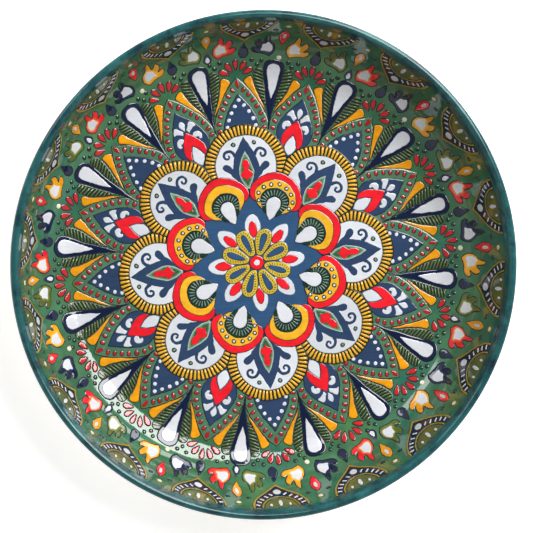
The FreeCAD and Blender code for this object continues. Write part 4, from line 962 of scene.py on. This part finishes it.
PETALLED = dict(base=0.12, rise=0.12, rounding=0.35, line=0.34, pitch=0.7)
left = Patch(TULIP, shade=towards_heart(1), **PETALLED)
right = Patch(flipped(TULIP), shade=towards_heart(-1), **PETALLED)
paint("tulips_red", "red_enamel", (left, RED, AT_ODD_LUNETTES))
paint("tulips_yellow", "yellow_enamel", (left, AMBER, AT_EVEN_LUNETTES))
paint("tulips_navy", "navy_enamel", (right, NAVY, AT_ODD_LUNETTES))
paint("tulips_olive", "olive_enamel", (right, OLIVE, AT_EVEN_LUNETTES))
paint("tulip_hearts", "white_enamel",
      (both(HEART, base=0.25, rise=0.06, rounding=0.5, line=0, insets=(0.12, 0.4)), WHITE, AT_LUNETTES))
streak = Patch(oval(0.1, 99.6, 0.75, 2.4), base=0.25, rise=0.04, line=0)
paint("drops_red", "red_enamel",
      (Patch(DROP, **BEADED), RED, AT_RED_DROPS), (streak, WHITE, AT_RED_DROPS))
paint("drops_yellow", "yellow_enamel",
      (Patch(DROP, **BEADED), AMBER, AT_YELLOW_DROPS),
      (streak, WHITE, AT_YELLOW_DROPS))
paint("small_drop_surrounds", "navy_enamel",
      (Patch(SMALL_SURROUND, base=0.12, rise=0.08, rounding=0.35, line=0.1), NAVY, AT_YELLOW_DROPS))
paint("small_white_drops", "white_enamel",
      (Patch(SMALL_DROP, base=0.21, rise=0.08, rounding=0.4, line=0), WHITE, AT_YELLOW_DROPS))
paint("small_yellow_dots", "cream_enamel", (dots([(0, 85.4)], 1.0, 0.12, 0.14, 0), CREAM, AT_RED_DROPS))
paint("cream_dots", "cream_enamel",
      (Patch(oval(0, 110.0, 2.1, 2.3), base=0.08, rise=0.05, line=0), OLIVE, AT_DROPS),
      (Patch(oval(0, 110.0, 1.2, 1.2), base=0.12, rise=0.12, rounding=0.4, line=0.1), CREAM, AT_DROPS))
BEAD_REACH, BEAD_LEAN = 105, math.radians(2.6)
border_beads = [Patch(oval(BEAD_REACH * math.sin(lean), BEAD_REACH * math.cos(lean), 0.95, 0.95),
                      base=0.1, rise=0.24, rounding=0.9, insets=(0.15, 0.4), line=0.28)
                for lean in (-BEAD_LEAN, BEAD_LEAN)]
paint("border_beads", "dark_green_enamel", (border_beads, DARK_GREEN, AT_DROPS))

# --- Studio: pale floor, a tall soft box at the upper right, two small lamps, a dim white room
def floor_finish():
    n = Nodes("studio_floor")
    shade = n.mix(n.noise(14.0), rgb(250, 250, 250), rgb(246, 246, 246))
    n.shader.inputs["Emission Color"].default_value = (1, 1, 1, 1)
    n.shader.inputs["Emission Strength"].default_value = 0.6
    return n.done(shade, 0.7)


mesh = bpy.data.meshes.new("floor")
reach = 3
corners = [(-reach, -reach, 0), (reach, -reach, 0), (reach, reach, 0), (-reach, reach, 0)]
mesh.from_pydata(corners, [], [(0, 1, 2, 3)])
mesh.materials.append(floor_finish())
floor = bpy.data.objects.new("floor", mesh)
bpy.context.scene.collection.objects.link(floor)


def softbox(name, azimuth, elevation, distance, width, height, power):
    lamp = bpy.data.lights.new(name, "AREA")
    lamp.shape, lamp.size, lamp.size_y, lamp.energy = "RECTANGLE", width, height, power
    box = bpy.data.objects.new(name, lamp)
    a, e = math.radians(azimuth), math.radians(elevation)
    box.location = Vector((math.cos(a) * math.cos(e), math.sin(a) * math.cos(e), math.sin(e))) * distance
    box.rotation_euler = (-box.location).to_track_quat("-Z", "Y").to_euler()
    bpy.context.scene.collection.objects.link(box)


softbox("key", azimuth=46, elevation=54, distance=1.3, width=0.65, height=0.95, power=19.0)
softbox("fill", azimuth=50, elevation=12, distance=1.8, width=1.0, height=0.6, power=9.0)
softbox("side", azimuth=140, elevation=30, distance=1.8, width=0.5, height=0.5, power=3.5)

world = bpy.data.worlds.new("room")
world.use_nodes = True
tree = world.node_tree
direction = tree.nodes.new("ShaderNodeTexCoord")
split = tree.nodes.new("ShaderNodeSeparateXYZ")
fade = tree.nodes.new("ShaderNodeMapRange")
fade.inputs["From Min"].default_value, fade.inputs["From Max"].default_value = 0.3, 0.95
fade.inputs["To Min"].default_value, fade.inputs["To Max"].default_value = 0.5, 0.09
tree.links.new(direction.outputs["Generated"], split.inputs[0])
tree.links.new(split.outputs[2], fade.inputs["Value"])
tree.links.new(fade.outputs["Result"], tree.nodes["Background"].inputs["Strength"])
tree.nodes["Background"].inputs["Color"].default_value = (1, 1, 1, 1)
bpy.context.scene.world = world
bpy.context.scene.view_settings.view_transform = "Standard"

camera = bpy.data.cameras.new("camera")
camera.lens, camera.sensor_width = 195.65, 36.0
camera.clip_start, camera.clip_end = 0.05, 10.0
eye = bpy.data.objects.new("camera", camera)
AIM, EYE = Vector((0.0002, -0.0004, 0.038)), Vector((-0.1439, 0.0428, 1.1913))
back = (EYE - AIM).normalized()
right_way = Vector((0, 1, 0)).cross(back).normalized()
facing = Matrix((right_way, back.cross(right_way), back)).transposed()
eye.matrix_world = Matrix.Translation(EYE) @ facing.to_4x4()
bpy.context.scene.collection.objects.link(eye)
bpy.context.scene.camera = eye
